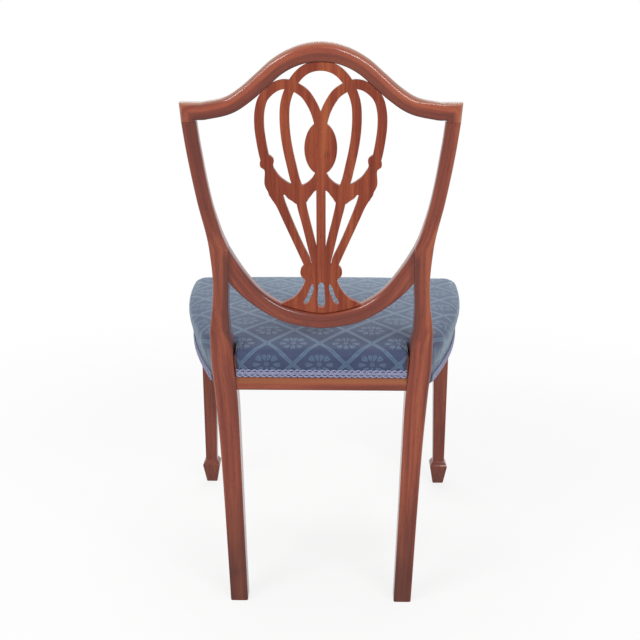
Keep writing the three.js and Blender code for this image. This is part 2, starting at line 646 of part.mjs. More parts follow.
const frontLegRear = seatDepth - frontLegTopWidth;
const sideRearWidth = sideRailRearSplay * sideRailRearReachLength;
const sidePlan = new THREE.CubicBezierCurve(
  new THREE.Vector2(kneeHalfOuter, kneeDepth),
  new THREE.Vector2(kneeHalfOuter + sideRearWidth, kneeDepth + sideRailRearReachLength),
  new THREE.Vector2(frontHalfOuter, frontLegRear - sideRailFrontReachLength),
  new THREE.Vector2(frontHalfOuter, frontLegRear));
const sidePlanPoints = sidePlan.getPoints(24).map((p) => [p.y, p.x]);
const sideStations = Array.from({ length: 11 }, (_, i) =>
  mix(kneeDepth + clearance, frontLegRear - clearance, i / 10));
const sideFacets = sideStations.map((d) => {
  const slope = (along(sidePlanPoints, d + overrun) - along(sidePlanPoints, d - overrun)) / (2 * overrun);
  const outer = along(sidePlanPoints, d);
  return { d, outer, inner: outer - railThickness * Math.hypot(1, slope) };
});
const facetX = (d, face) => {
  const past = sideFacets.filter((f) => f.d < d).length;
  const at = Math.min(sideFacets.length - 2, Math.max(0, past - 1));
  const [a, b] = [sideFacets[at], sideFacets[at + 1]];
  return mix(a[face], b[face], clamp((d - a.d) / (b.d - a.d)));
};
const sideOuterX = (d) => facetX(d, 'outer');
const sideInnerX = (d) => facetX(d, 'inner');
const frontInnerX = frontHalfOuter - frontLegTopWidth;
const frontOuterD = (x) => seatDepth + frontRailBowDepth * (1 - (x / frontInnerX) ** 2);

// Upright prism of a plan outline of [x, d] pairs
const planPrism = (outline, z0, z1) =>
  prism(outline, z1 - z0, (x, d, up) => new THREE.Vector3(x, -d, z0 + up));

function sideRail(side) {
  const outline = [...sideFacets.map((f) => [f.outer, f.d]),
    ...sideFacets.map((f) => [f.inner, f.d]).reverse()];
  const bar = planPrism(flip(outline, side), railBottomZ, railTopZ);
  const tenoned = join(bar, sideRailTenon(side, false, 0), sideRailTenon(side, true, 0));
  const holes = blockScrews().filter((s) => s.side === side && s.into === 'side').map(screwHole);
  return cut(tenoned, ...holes);
}

function sideRailTenon(side, atFront, gap) {
  const face = atFront ? frontLegRear : kneeDepth;
  const middle = (sideOuterX(face) + sideInnerX(face)) / 2 * side;
  const half = tenonThickness / 2 + gap;
  const tip = atFront ? face + tenonLength + gap : face - tenonLength - gap;
  const root = atFront ? face - overrun : face + overrun;
  return box(middle - half, middle + half, -Math.max(tip, root), -Math.min(tip, root),
    railBottomZ + tenonShoulderHeight - gap, railTopZ - tenonShoulderHeight + gap);
}

function frontRail() {
  const end = frontInnerX - clearance;
  const stations = Array.from({ length: frontFacetCount + 1 }, (_, i) =>
    mix(-end, end, i / frontFacetCount));
  const outline = [...stations.map((x) => [x, frontOuterD(x)]),
    ...stations.map((x) => [x, frontOuterD(x) - railThickness]).reverse()];
  const bar = planPrism(outline, railBottomZ, railTopZ);
  const holes = blockScrews().filter((s) => s.into === 'front').map(screwHole);
  return cut(join(bar, frontRailTenon(-1, 0), frontRailTenon(1, 0)), ...holes);
}

function frontRailTenon(side, gap) {
  const face = side * frontInnerX;
  const tip = face + side * (tenonLength + gap);
  const root = face - side * overrun;
  const middle = -(seatDepth - railThickness / 2);
  const half = tenonThickness / 2 + gap;
  return box(Math.min(tip, root), Math.max(tip, root), middle - half, middle + half,
    railBottomZ + tenonShoulderHeight - gap, railTopZ - tenonShoulderHeight + gap);
}

const backRailFront = backRailInsetDepth + backRailThickness;
const backRebateD = backRailInsetDepth + backRailRebateDepth;
const backShoulderZ = railBottomZ + backRailStripHeight + backRailChamferHeight;

function backRail() {
  const profile = [
    [backRailInsetDepth, railBottomZ], [backRailInsetDepth, railBottomZ + backRailStripHeight],
    [backRebateD, backShoulderZ], [backRebateD, railTopZ],
    [backRailFront, railTopZ], [backRailFront, backShoulderZ],
    [backRailFront, railBottomZ + backRailStripHeight], [backRailFront, railBottomZ],
  ];
  const end = (side) => profile.map(([d, z]) => new THREE.Vector3(side * (postInnerX(z) - clearance), -d, z));
  const bar = join(loft([end(-1), end(1)]), backRailTenon(-1, 0), backRailTenon(1, 0));
  const holes = blockScrews().filter((s) => s.into === 'back').map(screwHole);
  return cut(bar, ...holes);
}

function backRailTenon(side, gap) {
  const face = side * postInnerX(railBottomZ);
  const tip = face + side * (tenonLength + gap);
  const root = face - side * overrun;
  const middle = -(backRebateD + backRailFront) / 2;
  const half = tenonThickness / 2 + gap;
  return box(Math.min(tip, root), Math.max(tip, root), middle - half, middle + half,
    railBottomZ + tenonShoulderHeight - gap, railTopZ - tenonShoulderHeight + gap);
}

// Front legs: square, tapered on their inner faces, on spade feet

function frontLeg(side) {
  const ankleX = frontHalfOuter - frontLegAnkleWidth / 2;
  const ankleD = seatDepth - frontLegAnkleWidth / 2;
  const square = (width, radius) =>
    ({ x: frontHalfOuter - width / 2, d: seatDepth - width / 2, width, radius });
  const spade = (width) => ({ x: ankleX, d: ankleD, width, radius: arrisRadius });
  const levels = [
    [0, spade(spadeFootWidth)],
    [spadeHeight * 0.8, spade(spadeWidth)],
    [spadeHeight * 0.9, spade(spadeWidth - arrisRadius)],
    [spadeHeight, spade(frontLegAnkleWidth + arrisRadius)],
    [spadeHeight + 2 * arrisRadius, square(frontLegAnkleWidth, arrisRadius)],
    [railBottomZ - overrun, square(frontLegTopWidth, arrisRadius)],
    [railBottomZ, square(frontLegTopWidth, seatCornerRadius)],
    [railTopZ, square(frontLegTopWidth, seatCornerRadius)],
  ];
  const rings = levels.map(([z, s]) => legRing(side, s, z));
  return cut(loft(rings), sideRailTenon(side, true, clearance), frontRailTenon(side, clearance));
}

// Square ring of a front leg; only its outer front corner takes the larger radius
function legRing(side, { x, d, width, radius }, z) {
  const half = width / 2;
  const corners = [[1, 1, radius], [-1, 1, arrisRadius], [-1, -1, arrisRadius], [1, -1, arrisRadius]];
  return corners.flatMap(([sx, sd, r], quarter) => [0, 1, 2, 3].map((step) => {
    const angle = (quarter + step / 3) * Math.PI / 2;
    const px = x + sx * (half - r) + r * Math.cos(angle);
    const pd = d + sd * (half - r) + r * Math.sin(angle);
    return new THREE.Vector3(side * px, -pd, z);
  }));
}

// Corner blocks and their screws

const blockBottomZ = railBottomZ + (railHeight - blockHeight) / 2;

function backBlockOutline() {
  const postX = postInnerX(railTopZ) - clearance;
  const start = postInnerX(railBottomZ) - blockLegLength;
  const face = backRailFront + clearance;
  const step = kneeDepth + clearance;
  const end = kneeDepth + blockLegLength;
  const inner = (d) => sideInnerX(d) - clearance;
  const clear = postInnerX(blockBottomZ) - 2 * clearance;
  return [[start, face], [Math.min(clear, postX), face], [Math.min(clear, postX), step],
    [inner(step), step], [inner((step + end) / 2), (step + end) / 2], [inner(end), end]];
}

function frontBlockOutline() {
  const legX = frontInnerX - clearance;
  const inner = (x) => frontOuterD(x) - railThickness - clearance;
  const side = (d) => sideInnerX(d) - clearance;
  const step = frontLegRear - clearance;
  const end = frontLegRear - blockLegLength;
  const start = legX - blockLegLength;
  return [[start, inner(start)], [(start + legX) / 2, inner((start + legX) / 2)], [legX, inner(legX)],
    [legX, step], [side(step), step], [side((step + end) / 2), (step + end) / 2], [side(end), end]];
}

function cornerBlock(side, atFront) {
  const outline = atFront ? frontBlockOutline() : backBlockOutline();
  const block = planPrism(flip(outline, side), blockBottomZ, blockBottomZ + blockHeight);
  return cut(block, ...blockScrews().filter((s) => s.side === side && s.atFront === atFront).map(screwHole));
}

// Two screws to each block: one into the side rail, one into the front or back rail
function blockScrews() {
  const screws = [];
  for (const side of [1, -1]) {
    for (const atFront of [false, true]) {
      const outline = atFront ? frontBlockOutline() : backBlockOutline();
      const [first, last] = [outline[0], outline[outline.length - 1]];
      const low = blockBottomZ + blockHeight * 0.35;
      const high = blockBottomZ + blockHeight * 0.65;
      const near = [mix(first[0], last[0], 0.27), mix(first[1], last[1], 0.27)];
      const far = [mix(first[0], last[0], 0.73), mix(first[1], last[1], 0.73)];
      const railFace = atFront ? frontOuterD(near[0]) - railThickness : backRailFront;
      const sideFace = sideInnerX(far[1]);
      const forward = atFront ? 1 : -1;
      screws.push({ side, atFront, into: atFront ? 'front' : 'back', z: low,
        x: near[0], d: near[1], run: [0, forward], length: Math.abs(railFace - near[1]) + screwBiteLength });
      screws.push({ side, atFront, into: 'side', z: high,
        x: far[0], d: far[1], run: [1, 0], length: sideFace - far[0] + screwBiteLength });
    }
  }
  return screws;
}

// Turned solid of [radius, height] pairs, laid along a screw's run from its head
function alongScrew(profile, { side, x, d, z, run }) {
  const shape = profile.map(([r, h]) => new THREE.Vector2(r, h));
  const geometry = new THREE.LatheGeometry(shape, 10);
  const direction = new THREE.Vector3(side * run[0], -run[1], 0);
  const turn = new THREE.Quaternion().setFromUnitVectors(new THREE.Vector3(0, 1, 0), direction);
  geometry.applyQuaternion(turn).translate(side * x, -d, z);
  return bend(geometry, (a, b, c) => new THREE.Vector3(a, b, c));
}

function screwSolid(screw) {
  const [shank, head] = [screwDiameter / 2, screwHeadDiameter / 2];
  const under = screwSinkDepth + screwHeadHeight;
  return alongScrew([[0, screwSinkDepth], [head, screwSinkDepth], [shank, under],
    [shank, screw.length - screwDiameter], [0, screw.length]], screw);
}

function screwHole(screw) {
  const [shank, head] = [screwDiameter / 2 + clearance, screwHeadDiameter / 2 + clearance];
  const under = screwSinkDepth + screwHeadHeight;
  const tip = screw.length + clearance;
  return alongScrew([[0, -screwSinkDepth], [head, -screwSinkDepth], [head, screwSinkDepth + clearance],
    [shank, under + clearance], [shank, tip - screwDiameter + clearance], [0, tip + clearance]], screw);
}

// Webbing: strips woven over and under each other on the rails' tops

const webRestZ = railTopZ + clearance + webThickness / 2;
const weaveLift = (webThickness + clearance) / 2;
const weaveZ = webRestZ + weaveLift + clearance;
const weaveTopZ = weaveZ + weaveLift + webThickness / 2;
const webX = (i) => (i - (webCount - 1) / 2) * postInnerX(railTopZ) / 2;
const crossD = (i) => mix(kneeDepth, frontLegRear, (i + 1) / (crossCount + 1));

// Strip along pairs of [place along it, height]; place(along, across, height) gives each point
function strip(heights, place) {
  const half = webWidth / 2;
  return loft(heights.map(([s, z]) => [[-half, -1], [half, -1], [half, 1], [-half, 1]].map(([across, up]) =>
    place(s, across, z + up * webThickness / 2))));
}

// A strip lies level over the whole width of the strip that it crosses
const crossing = (s, over) => [-1, 1].map((side) =>
  [s + side * (webWidth / 2 + clearance), weaveZ + (over ? weaveLift : -weaveLift)]);

function frontBackWeb(i) {
  const x = webX(i);
  const rear = backRebateD + webInsetLength;
  const front = frontOuterD(Math.abs(x) + webWidth / 2) - webInsetLength;
  const crossings = Array.from({ length: crossCount }, (_, j) => crossing(crossD(j), (i + j) % 2)).flat();
  const rests = [[rear, webRestZ], [backRailFront, webRestZ]];
  const ends = [[frontOuterD(x) - railThickness, webRestZ], [front, webRestZ]];
  return strip([...rests, ...crossings, ...ends], (s, across, z) => new THREE.Vector3(x + across, -s, z));
}

function crossWeb(j) {
  const d = crossD(j);
  const reach = sideOuterX(d - webWidth / 2) - webInsetLength;
  const inner = sideInnerX(d - webWidth / 2);
  const crossings = Array.from({ length: webCount }, (_, i) => crossing(webX(i), (i + j + 1) % 2)).flat();
  const points = [[-reach, webRestZ], [-inner, webRestZ], ...crossings, [inner, webRestZ], [reach, webRestZ]];
  return strip(points, (s, across, z) => new THREE.Vector3(s, -(d + across), z));
}

// Seat outline over the rails' outer faces, right round, notched for the posts.
// Each point holds its plan place, its outward direction, how much it bulges and its lower edge.

const stuffingZ = weaveTopZ + hessianThickness + 2 * clearance;
const notchX = postInnerX(backShoulderZ) - coverThickness - 2 * clearance;
const notchD = kneeDepth + coverThickness + 2 * clearance;
const sideCoverZ = railBottomZ + sideCoverLiftHeight;
const backCoverZ = backShoulderZ + clearance;

function halfSeatOutline() {
  const point = (x, d, bulge, low) => ({ x, d, bulge, low });
  const back = [0, 0.25, 0.5, 0.75, 0.93].map((share) =>
    point(share * notchX, backRebateD, share < 0.9 ? 0.55 : 0.3, backCoverZ));
  const notch = [[notchX, backRebateD], [notchX, (backRebateD + notchD) / 2], [notchX, notchD],
    [(notchX + kneeHalfOuter) / 2, notchD], [sideOuterX(notchD), notchD],
  ].map(([x, d]) => point(x, d, 0, stuffingZ));
  const sideStart = notchD + coverThickness;
  const sideEnd = seatDepth - seatCornerRadius;
  const side = [sideStart, ...sideStations.slice(1), sideEnd].map((d) => {
    const fullness = 0.25 + (d - sideStart) / railHeight;
    return point(d > frontLegRear ? frontHalfOuter : sideOuterX(d), d, ease(clamp(fullness)), sideCoverZ);
  });
  const centre = [frontHalfOuter - seatCornerRadius, seatDepth - seatCornerRadius];
  const corner = [1, 2, 3].map((step) => {
    const angle = step * Math.PI / 6;
    const [x, d] = [centre[0] + seatCornerRadius * Math.cos(angle),
      centre[1] + seatCornerRadius * Math.sin(angle)];
    return point(x, d, 1, sideCoverZ);
  });
  const front = [1, 0.75, 0.5, 0.25, 0].map((share) =>
    point(share * frontInnerX, frontOuterD(share * frontInnerX), 1, sideCoverZ));
  return [...back, ...notch, ...side, ...corner, ...front];
}

function seatOutline() {
  const half = halfSeatOutline();
  const other = half.slice(1, -1).reverse().map((p) => ({ ...p, x: -p.x }));
  const all = [...half, ...other];
  return all.map((p, i) => {
    const a = all[(i + all.length - 1) % all.length];
    const b = all[(i + 1) % all.length];
    const before = new THREE.Vector2(p.d - a.d, -(p.x - a.x)).normalize();
    const after = new THREE.Vector2(b.d - p.d, -(b.x - p.x)).normalize();
    const out = before.add(after).normalize();
    return { ...p, nx: out.x, nd: out.y };
  });
}

const bulgeZ = railTopZ + bulgeRiseHeight;
const edgeZ = bulgeZ + seatRollHeight;
const seatMiddleD = (backRebateD + seatDepth) / 2;

// Ring of the seat at an offset from the rails' faces and a height
function seatRing(outline, offset, height) {
  return outline.map((p) => {
    const out = offset(p);
    return new THREE.Vector3(p.x + p.nx * out, -(p.d + p.nd * out), height(p));
  });
}

// Rings of the seat's outer skin, drawn in by a skin thickness
function seatSkin(outline, inset, lowZ) {
  const out = (share) => (p) => coverThickness + clearance - inset + p.bulge * coverBulgeDepth * share;
  const rings = [
    seatRing(outline, out(0), lowZ),
    seatRing(outline, out(0), (p) => mix(lowZ(p), bulgeZ, 0.38)),
    seatRing(outline, out(0.6), (p) => mix(lowZ(p), bulgeZ, 0.68)),
    seatRing(outline, out(1), () => bulgeZ),
    seatRing(outline, out(0.72), () => bulgeZ + (seatRollHeight - inset) * 0.6),
  ];
  const rollIn = (share, height) =>
    seatRing(outline, (p) => out(0)(p) - seatRollHeight * share, () => height - inset);
  rings.push(rollIn(0.05, edgeZ - seatRollHeight * 0.06), rollIn(0.42, edgeZ + seatCrownHeight * 0.16));
  const rim = rings[rings.length - 1];
  const middle = new THREE.Vector3(0, -seatMiddleD, 0);
  const rimZ = rim[0].z;
  for (const share of [0.84, 0.62, 0.36]) {
    rings.push(rim.map((p) => {
      const spot = middle.clone().lerp(p, share);
      spot.z = mix(rimZ, edgeZ - inset + seatCrownHeight, 1 - share * share);
      return spot;
    }));
  }
  return rings;
}

function poleRing(ring, z) {
  const middle = new THREE.Vector3(0, -seatMiddleD, z);
  return ring.map((p) => new THREE.Vector3().lerpVectors(middle, new THREE.Vector3(p.x, p.y, z), 0.15));
}

function seatCover() {
  const outline = seatOutline();
  const outer = seatSkin(outline, 0, (p) => p.low);
  const inner = seatSkin(outline, coverThickness, (p) => p.low);
  const top = edgeZ + seatCrownHeight;
  return loft([poleRing(inner[inner.length - 1], top - coverThickness), ...inner.reverse(), ...outer,
    poleRing(outer[outer.length - 1], top)]);
}

function seatStuffing() {
  const outline = seatOutline();
  const skin = seatSkin(outline, coverThickness + stuffingClearance, () => stuffingZ).slice(4);
  const base = seatRing(outline, (p) => -coverThickness + p.bulge * coverBulgeDepth * 0.8, () => stuffingZ);
  const top = edgeZ + seatCrownHeight - coverThickness - stuffingClearance;
  return loft([poleRing(base, stuffingZ), base, ...skin, poleRing(skin[skin.length - 1], top)]);
}

function hessianPanel() {
  const ring = (z) => seatRing(seatOutline(), () => -hessianInsetDepth, () => z);
  const low = weaveTopZ + clearance;
  return loft([ring(low), ring(low + hessianThickness)]);
}

// Gimp: flat braid bands over the cover's tacked edges

function gimpBand(points, low) {
  const inner = coverThickness + 2 * clearance;
  return loft(points.map((p) => [[inner, low], [inner + gimpThickness, low],
    [inner + gimpThickness, low + gimpHeight], [inner, low + gimpHeight]].map(([out, z]) =>
    new THREE.Vector3(p.x + p.nx * out, -(p.d + p.nd * out), z))));
}

function backGimp() {
  const reach = notchX - clearance;
  const points = [-1, 1].map((side) => ({ x: side * reach, d: backRebateD, nx: 0, nd: -1 }));
  return gimpBand(points, backCoverZ);
}

const sideGimp = () => gimpBand(seatOutline().filter((p) => p.low === sideCoverZ), sideCoverZ);

// Assembly

const chair = new THREE.Group();

function add(name, geometry, look) {
  const mesh = new THREE.Mesh(geometry, new THREE.MeshStandardMaterial(look));
  mesh.name = name;
  geometry.computeVertexNormals();
  chair.add(mesh);
}

add('crest_rail', crestRail(), mahogany);
add('shield_lower_rail', shieldLowerRail(), mahogany);
add('pierced_splat', piercedSplat(), splatWood);
for (const [hand, side] of [['left', 1], ['right', -1]]) {
  add(`${hand}_back_post`, backPost(side), mahogany);
  add(`${hand}_front_leg`, frontLeg(side), mahogany);
  add(`${hand}_side_rail`, sideRail(side), beech);
  add(`back_${hand}_corner_block`, cornerBlock(side, false), beech);
  add(`front_${hand}_corner_block`, cornerBlock(side, true), beech);
}
add('back_seat_rail', backRail(), mahogany);
add('front_seat_rail', frontRail(), beech);
for (const screw of blockScrews()) {
  const corner = `${screw.atFront ? 'front' : 'back'}_${screw.side > 0 ? 'left' : 'right'}`;
  add(`${corner}_block_screw_to_${screw.into}_rail`, screwSolid(screw), steel);
}
for (let i = 0; i < webCount; i++) add(`webbing_strip_${i + 1}`, frontBackWeb(i), webbing);
for (let j = 0; j < crossCount; j++) add(`webbing_cross_strip_${j + 1}`, crossWeb(j), webbing);
add('hessian_panel', hessianPanel(), hessian);
add('seat_stuffing', seatStuffing(), stuffing);
add('seat_cover', seatCover(), damask);
add('back_gimp', backGimp(), braid);
add('side_gimp', sideGimp(), braid);

// Bring the middle of the chair's depth over the origin
chair.updateMatrixWorld(true);
const bounds = new THREE.Box3().setFromObject(chair);
chair.position.y = -(bounds.min.y + bounds.max.y) / 2;

export default chair;
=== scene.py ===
"""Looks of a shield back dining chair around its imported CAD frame.

Lengths are written in millimetres and turned into metres when a mesh is made. The back of the
chair faces +Y, where the camera stands. Places in the seat's plan are [x, d], where d runs forward
from the rear faces of the posts at the seat.
"""
import math
from collections import namedtuple

import bmesh
import bpy
import numpy as np
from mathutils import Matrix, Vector
from mathutils.geometry import delaunay_2d_cdt


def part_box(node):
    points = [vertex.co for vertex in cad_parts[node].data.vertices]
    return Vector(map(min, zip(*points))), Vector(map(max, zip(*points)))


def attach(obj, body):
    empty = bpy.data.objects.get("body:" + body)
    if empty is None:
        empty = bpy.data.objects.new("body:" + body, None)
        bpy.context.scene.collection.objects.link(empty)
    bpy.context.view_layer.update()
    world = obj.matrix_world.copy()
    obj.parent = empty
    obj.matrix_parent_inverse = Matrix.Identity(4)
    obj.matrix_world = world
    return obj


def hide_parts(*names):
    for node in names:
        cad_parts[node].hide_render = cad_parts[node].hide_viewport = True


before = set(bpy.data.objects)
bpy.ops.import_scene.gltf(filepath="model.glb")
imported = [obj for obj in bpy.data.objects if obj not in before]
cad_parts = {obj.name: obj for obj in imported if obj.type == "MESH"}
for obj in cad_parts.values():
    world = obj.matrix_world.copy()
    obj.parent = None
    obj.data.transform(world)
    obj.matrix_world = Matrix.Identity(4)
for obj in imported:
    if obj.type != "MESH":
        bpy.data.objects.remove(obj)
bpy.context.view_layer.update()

MM = 0.001
CLEARANCE = 0.3

# Camera solved from the photo, in metres, millimetres of focal length and radians
CAMERA_PLACE, CAMERA_LENS = (-0.0303, 1.8491, 1.0268), 59.526
CAMERA_DOWN, CAMERA_TURN = 0.3066, 0.0195

# Seat frame
RAIL_BOTTOM, RAIL_TOP = 372.0, 432.0
BACK_RAIL_SET_IN = 3.0
BACK_RAIL_THICKNESS = 27.0
BACK_RAIL_STRIP = 13.0
BACK_RAIL_CHAMFER = 9.0
BACK_RAIL_REBATE = 6.0
RAIL_THICKNESS = 24.0
REAR_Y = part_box("back_seat_rail")[1].y / MM + BACK_RAIL_SET_IN

# Back posts
KNEE_OUTER, KNEE_WIDTH, KNEE_DEPTH = 185.5, 37.4, 38.0
FOOT_OUTER, FOOT_WIDTH, FOOT_DEPTH = 157.0, 30.0, 28.0
FOOT_RAKE, FOOT_CURVE = 54.0, 1.2
THROAT_Z, THROAT_OUTER, THROAT_WIDTH, THROAT_DEPTH = 545.0, 176.0, 25.0, 30.0
STILE_WIDTH, STILE_DEPTH, STILE_TOP_X = 23.0, 23.0, 211.2

# Shield
SHIELD_HALF = 213.0
CREST_END_Z, CREST_RISE, CREST_SHOULDER, CREST_EAR = 859.2, 89.5, 180.0, 3.0
CREST_HEIGHTS = [(0.0, 29.2), (90.0, 26.0), (180.0, 26.7)]
CREST_DEPTH, CREST_STEPS = 24.0, 110
CREST_JOINT_Z = CREST_END_Z - CREST_HEIGHTS[-1][1] - CREST_EAR
SHIELD_RAKE, BEND_START, BEND_END = 0.17, 400.0, 530.0
SHIELD_BOW, BOW_START = 0.027, 500.0
EAR_CROTCH_X, EAR_CROTCH_Z, EAR_TOP_X, EAR_TOP_Z = 150.6, 567.0, 148.5, 624.0
LOWER_RAIL_Z, LOWER_RAIL_HEIGHT, LOWER_RAIL_DEPTH, LOWER_RAIL_STEPS = 484.5, 26.5, 24.0, 96
RIM_RADIUS = 8.5

# Splat
SPLAT_THICKNESS, SPLAT_INSET, SPLAT_HALF = 11.0, 5.0, 93.0
SPLAT_BASE, SPLAT_TOP, SPLAT_BAND = 510.0, 921.0, 14.5
SPLAT_ARRIS, SPLAT_ARRIS_STEPS = 0.7, 3
SPLAT_SHORTEST_EDGE, SPLAT_FEWEST_EDGES = 0.12, 8
SPLAT_LEAN = SHIELD_RAKE + SHIELD_BOW
OVAL_HALF_WIDTH, OVAL_HALF_HEIGHT = 25.0, 41.0

# Front legs
FRONT_OUTER, SEAT_DEPTH = 256.0, 434.0
LEG_TOP, LEG_ANKLE = 32.0, 23.7
SPADE_HEIGHT, SPADE_WIDTH, SPADE_FOOT = 50.0, 36.0, 22.0
CORNER_RADIUS, ARRIS = 16.0, 1.5

# Upholstery
COVER_THICKNESS = 2.0
STUFFING_SLACK = 0.8
COVER_SPACING, PADDING_SPACING, TOP_SMOOTHINGS = 4.0, 9.0, 60
COVER_BULGE, BULGE_RISE, SEAT_ROLL, SEAT_CROWN = 9.5, 2.5, 18.5, 7.0
BACK_DROP, BACK_DROP_REACH = 9.0, 60.0
SIDE_COVER_LIFT = 2.0
GIMP_HEIGHT, GIMP_THICKNESS, GIMP_PITCH, LOOP_REACH = 15.0, 2.4, 10.3, 2.3
WEB_WIDTH, WEB_THICKNESS, WEB_SET_IN, WEB_TURNED = 50.0, 1.2, 5.0, 16.0
WEB_COUNT, CROSS_COUNT = 4, 3
HESSIAN_THICKNESS, HESSIAN_SET_IN = 0.8, 9.0

# Trellis of the damask, in its own cloth coordinates
TRELLIS_WIDTH, TRELLIS_LENGTH, TRELLIS_ASIDE, TRELLIS_SHIFT = 89.0, 95.0, 3.5, 28.5
DOT_PITCH, THREAD_PITCH = 3.4, 0.85


def mix(a, b, share):
    return a + (b - a) * share


def clamp(share):
    return min(1.0, max(0.0, share))


def smooth(share):
    return share * share * (3 - 2 * share)


def ease(share):
    return smooth(clamp(share))


def along(pairs, place):
    """Value that runs smoothly through (place, value) pairs and never overshoots them."""
    last = len(pairs) - 1
    if place <= pairs[0][0]:
        return pairs[0][1]
    if place >= pairs[last][0]:
        return pairs[last][1]
    at = next(i for i, (p, _) in enumerate(pairs) if p > place) - 1

    def secant(i):
        return (pairs[i + 1][1] - pairs[i][1]) / (pairs[i + 1][0] - pairs[i][0])

    def slope(i):
        a, b = secant(max(0, i - 1)), secant(min(last - 1, i))
        return 0.0 if a * b <= 0 else 2 * a * b / (a + b)

    (p0, v0), (p1, v1) = pairs[at], pairs[at + 1]
    run, rise = p1 - p0, v1 - v0
    t = (place - p0) / run
    m0, m1 = slope(at) * run, slope(at + 1) * run
    return v0 + t * m0 + t * t * (3 * rise - 2 * m0 - m1) + t ** 3 * (m0 + m1 - 2 * rise)


def curve(points, count, mirrored=False):
    """Points at even shares of a centripetal curve, which may leave its first point level."""
    points = [np.array(p, dtype=float) for p in points]
    last = len(points) - 1
    out = []
    for step in range(count + 1):
        place = last * step / count
        i = min(int(place), last - 1)
        t = place - i
        p1, p2 = points[i], points[i + 1]
        p0 = points[i - 1] if i > 0 else p2 * (-1, 1) if mirrored else 2 * p1 - p2
        p3 = points[i + 2] if i + 2 <= last else 2 * p2 - p1
        d0, d1, d2 = (max(1e-4, np.linalg.norm(b - a)) ** 0.5 for a, b in ((p0, p1), (p1, p2), (p2, p3)))
        m1 = ((p1 - p0) / d0 - (p2 - p0) / (d0 + d1) + (p2 - p1) / d1) * d1
        m2 = ((p2 - p1) / d1 - (p3 - p1) / (d1 + d2) + (p3 - p2) / d2) * d1
        spot = p1 + t * m1 + t * t * (3 * (p2 - p1) - 2 * m1 - m2) + t ** 3 * (m1 + m2 - 2 * (p2 - p1))
        out.append(tuple(float(v) for v in spot))
    return out


def resample(points, spacing):
    """Points about one spacing apart along a polyline, ends kept."""
    pts = [np.array(p, dtype=float) for p in points]
    gaps = [np.linalg.norm(b - a) for a, b in zip(pts, pts[1:])]
    total = sum(gaps)
    count = max(2, round(total / spacing))
    out, at, passed = [], 0, 0.0
    for step in range(count + 1):
        goal = total * step / count
        while at < len(gaps) - 1 and passed + gaps[at] < goal:
            passed += gaps[at]
            at += 1
        share = clamp((goal - passed) / gaps[at]) if gaps[at] > 0 else 0.0
        out.append(tuple(mix(pts[at], pts[at + 1], share)))
    return out


def flip(points, side):
    return [(x * side, z) for x, z in points]


def steps(low, high, count, first=0):
    return [mix(low, high, i / count) for i in range(first, count + 1)]


def spread(low, high, start, end, shares):
    """(place, value) pairs at shares of the way between two places and between two values."""
    return [(mix(low, high, a), mix(start, end, b)) for a, b in shares]


# Meshes

def new_object(name, data):
    made = bpy.data.objects.new(name, data)
    bpy.context.scene.collection.objects.link(made)
    return made


def make_piece(name, verts, faces, material, slot, replaced, grain=None, tone=None, sharp=38.0,
               recalculate=True):
    """New piece from points in millimetres, with its grain coordinate and tone as attributes."""
    mesh = bpy.data.meshes.new(name)
    mesh.from_pydata([tuple(v * MM for v in p) for p in verts], [], faces)
    if grain:
        layer = mesh.attributes.new("grain", 'FLOAT_VECTOR', 'POINT')
        layer.data.foreach_set("vector", [v * MM for p in grain for v in p])
    if tone:
        mesh.attributes.new("tone", 'FLOAT', 'POINT').data.foreach_set("value", tone)
    if recalculate:
        bm = bmesh.new()
        bm.from_mesh(mesh)
        bmesh.ops.recalc_face_normals(bm, faces=bm.faces)
        bm.to_mesh(mesh)
        bm.free()
    mesh.shade_smooth()
    if sharp is not None:
        mesh.set_sharp_from_angle(angle=math.radians(sharp))
    mesh.materials.append(material)
    piece = new_object(name, mesh)
    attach(piece, "root")
    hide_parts(replaced)
    return piece


def joined(rings):
    return [p for ring in rings or [] for p in ring]


def loft(rings):
    """Points and faces of a capped skin through equal rings."""
    size, end = len(rings[0]), (len(rings) - 1) * len(rings[0])
    faces = [(a + i, a + (i + 1) % size, a + size + (i + 1) % size, a + size + i)
             for a in range(0, end, size) for i in range(size)]
    return joined(rings), faces + [tuple(reversed(range(size))), tuple(range(end, end + size))]


def loft_piece(name, rings, grains, material, slot, replaced, tones=None, sharp=38.0):
    return make_piece(name, *loft(rings), material, slot, replaced, joined(grains), joined(tones), sharp)


# Node materials

class Value:
    """Output of a shader graph's node that takes part in sums as a number does."""

    def __init__(self, nodes, socket):
        self.nodes, self.socket = nodes, socket

    def __add__(self, other):
        return self.nodes.math("ADD", self, other)

    def __sub__(self, other):
        return self.nodes.math("SUBTRACT", self, other)

    def __rsub__(self, other):
        return self.nodes.math("SUBTRACT", other, self)

    def __mul__(self, other):
        return self.nodes.math("MULTIPLY", self, other)

    def __truediv__(self, other):
        return self.nodes.math("DIVIDE", self, other)


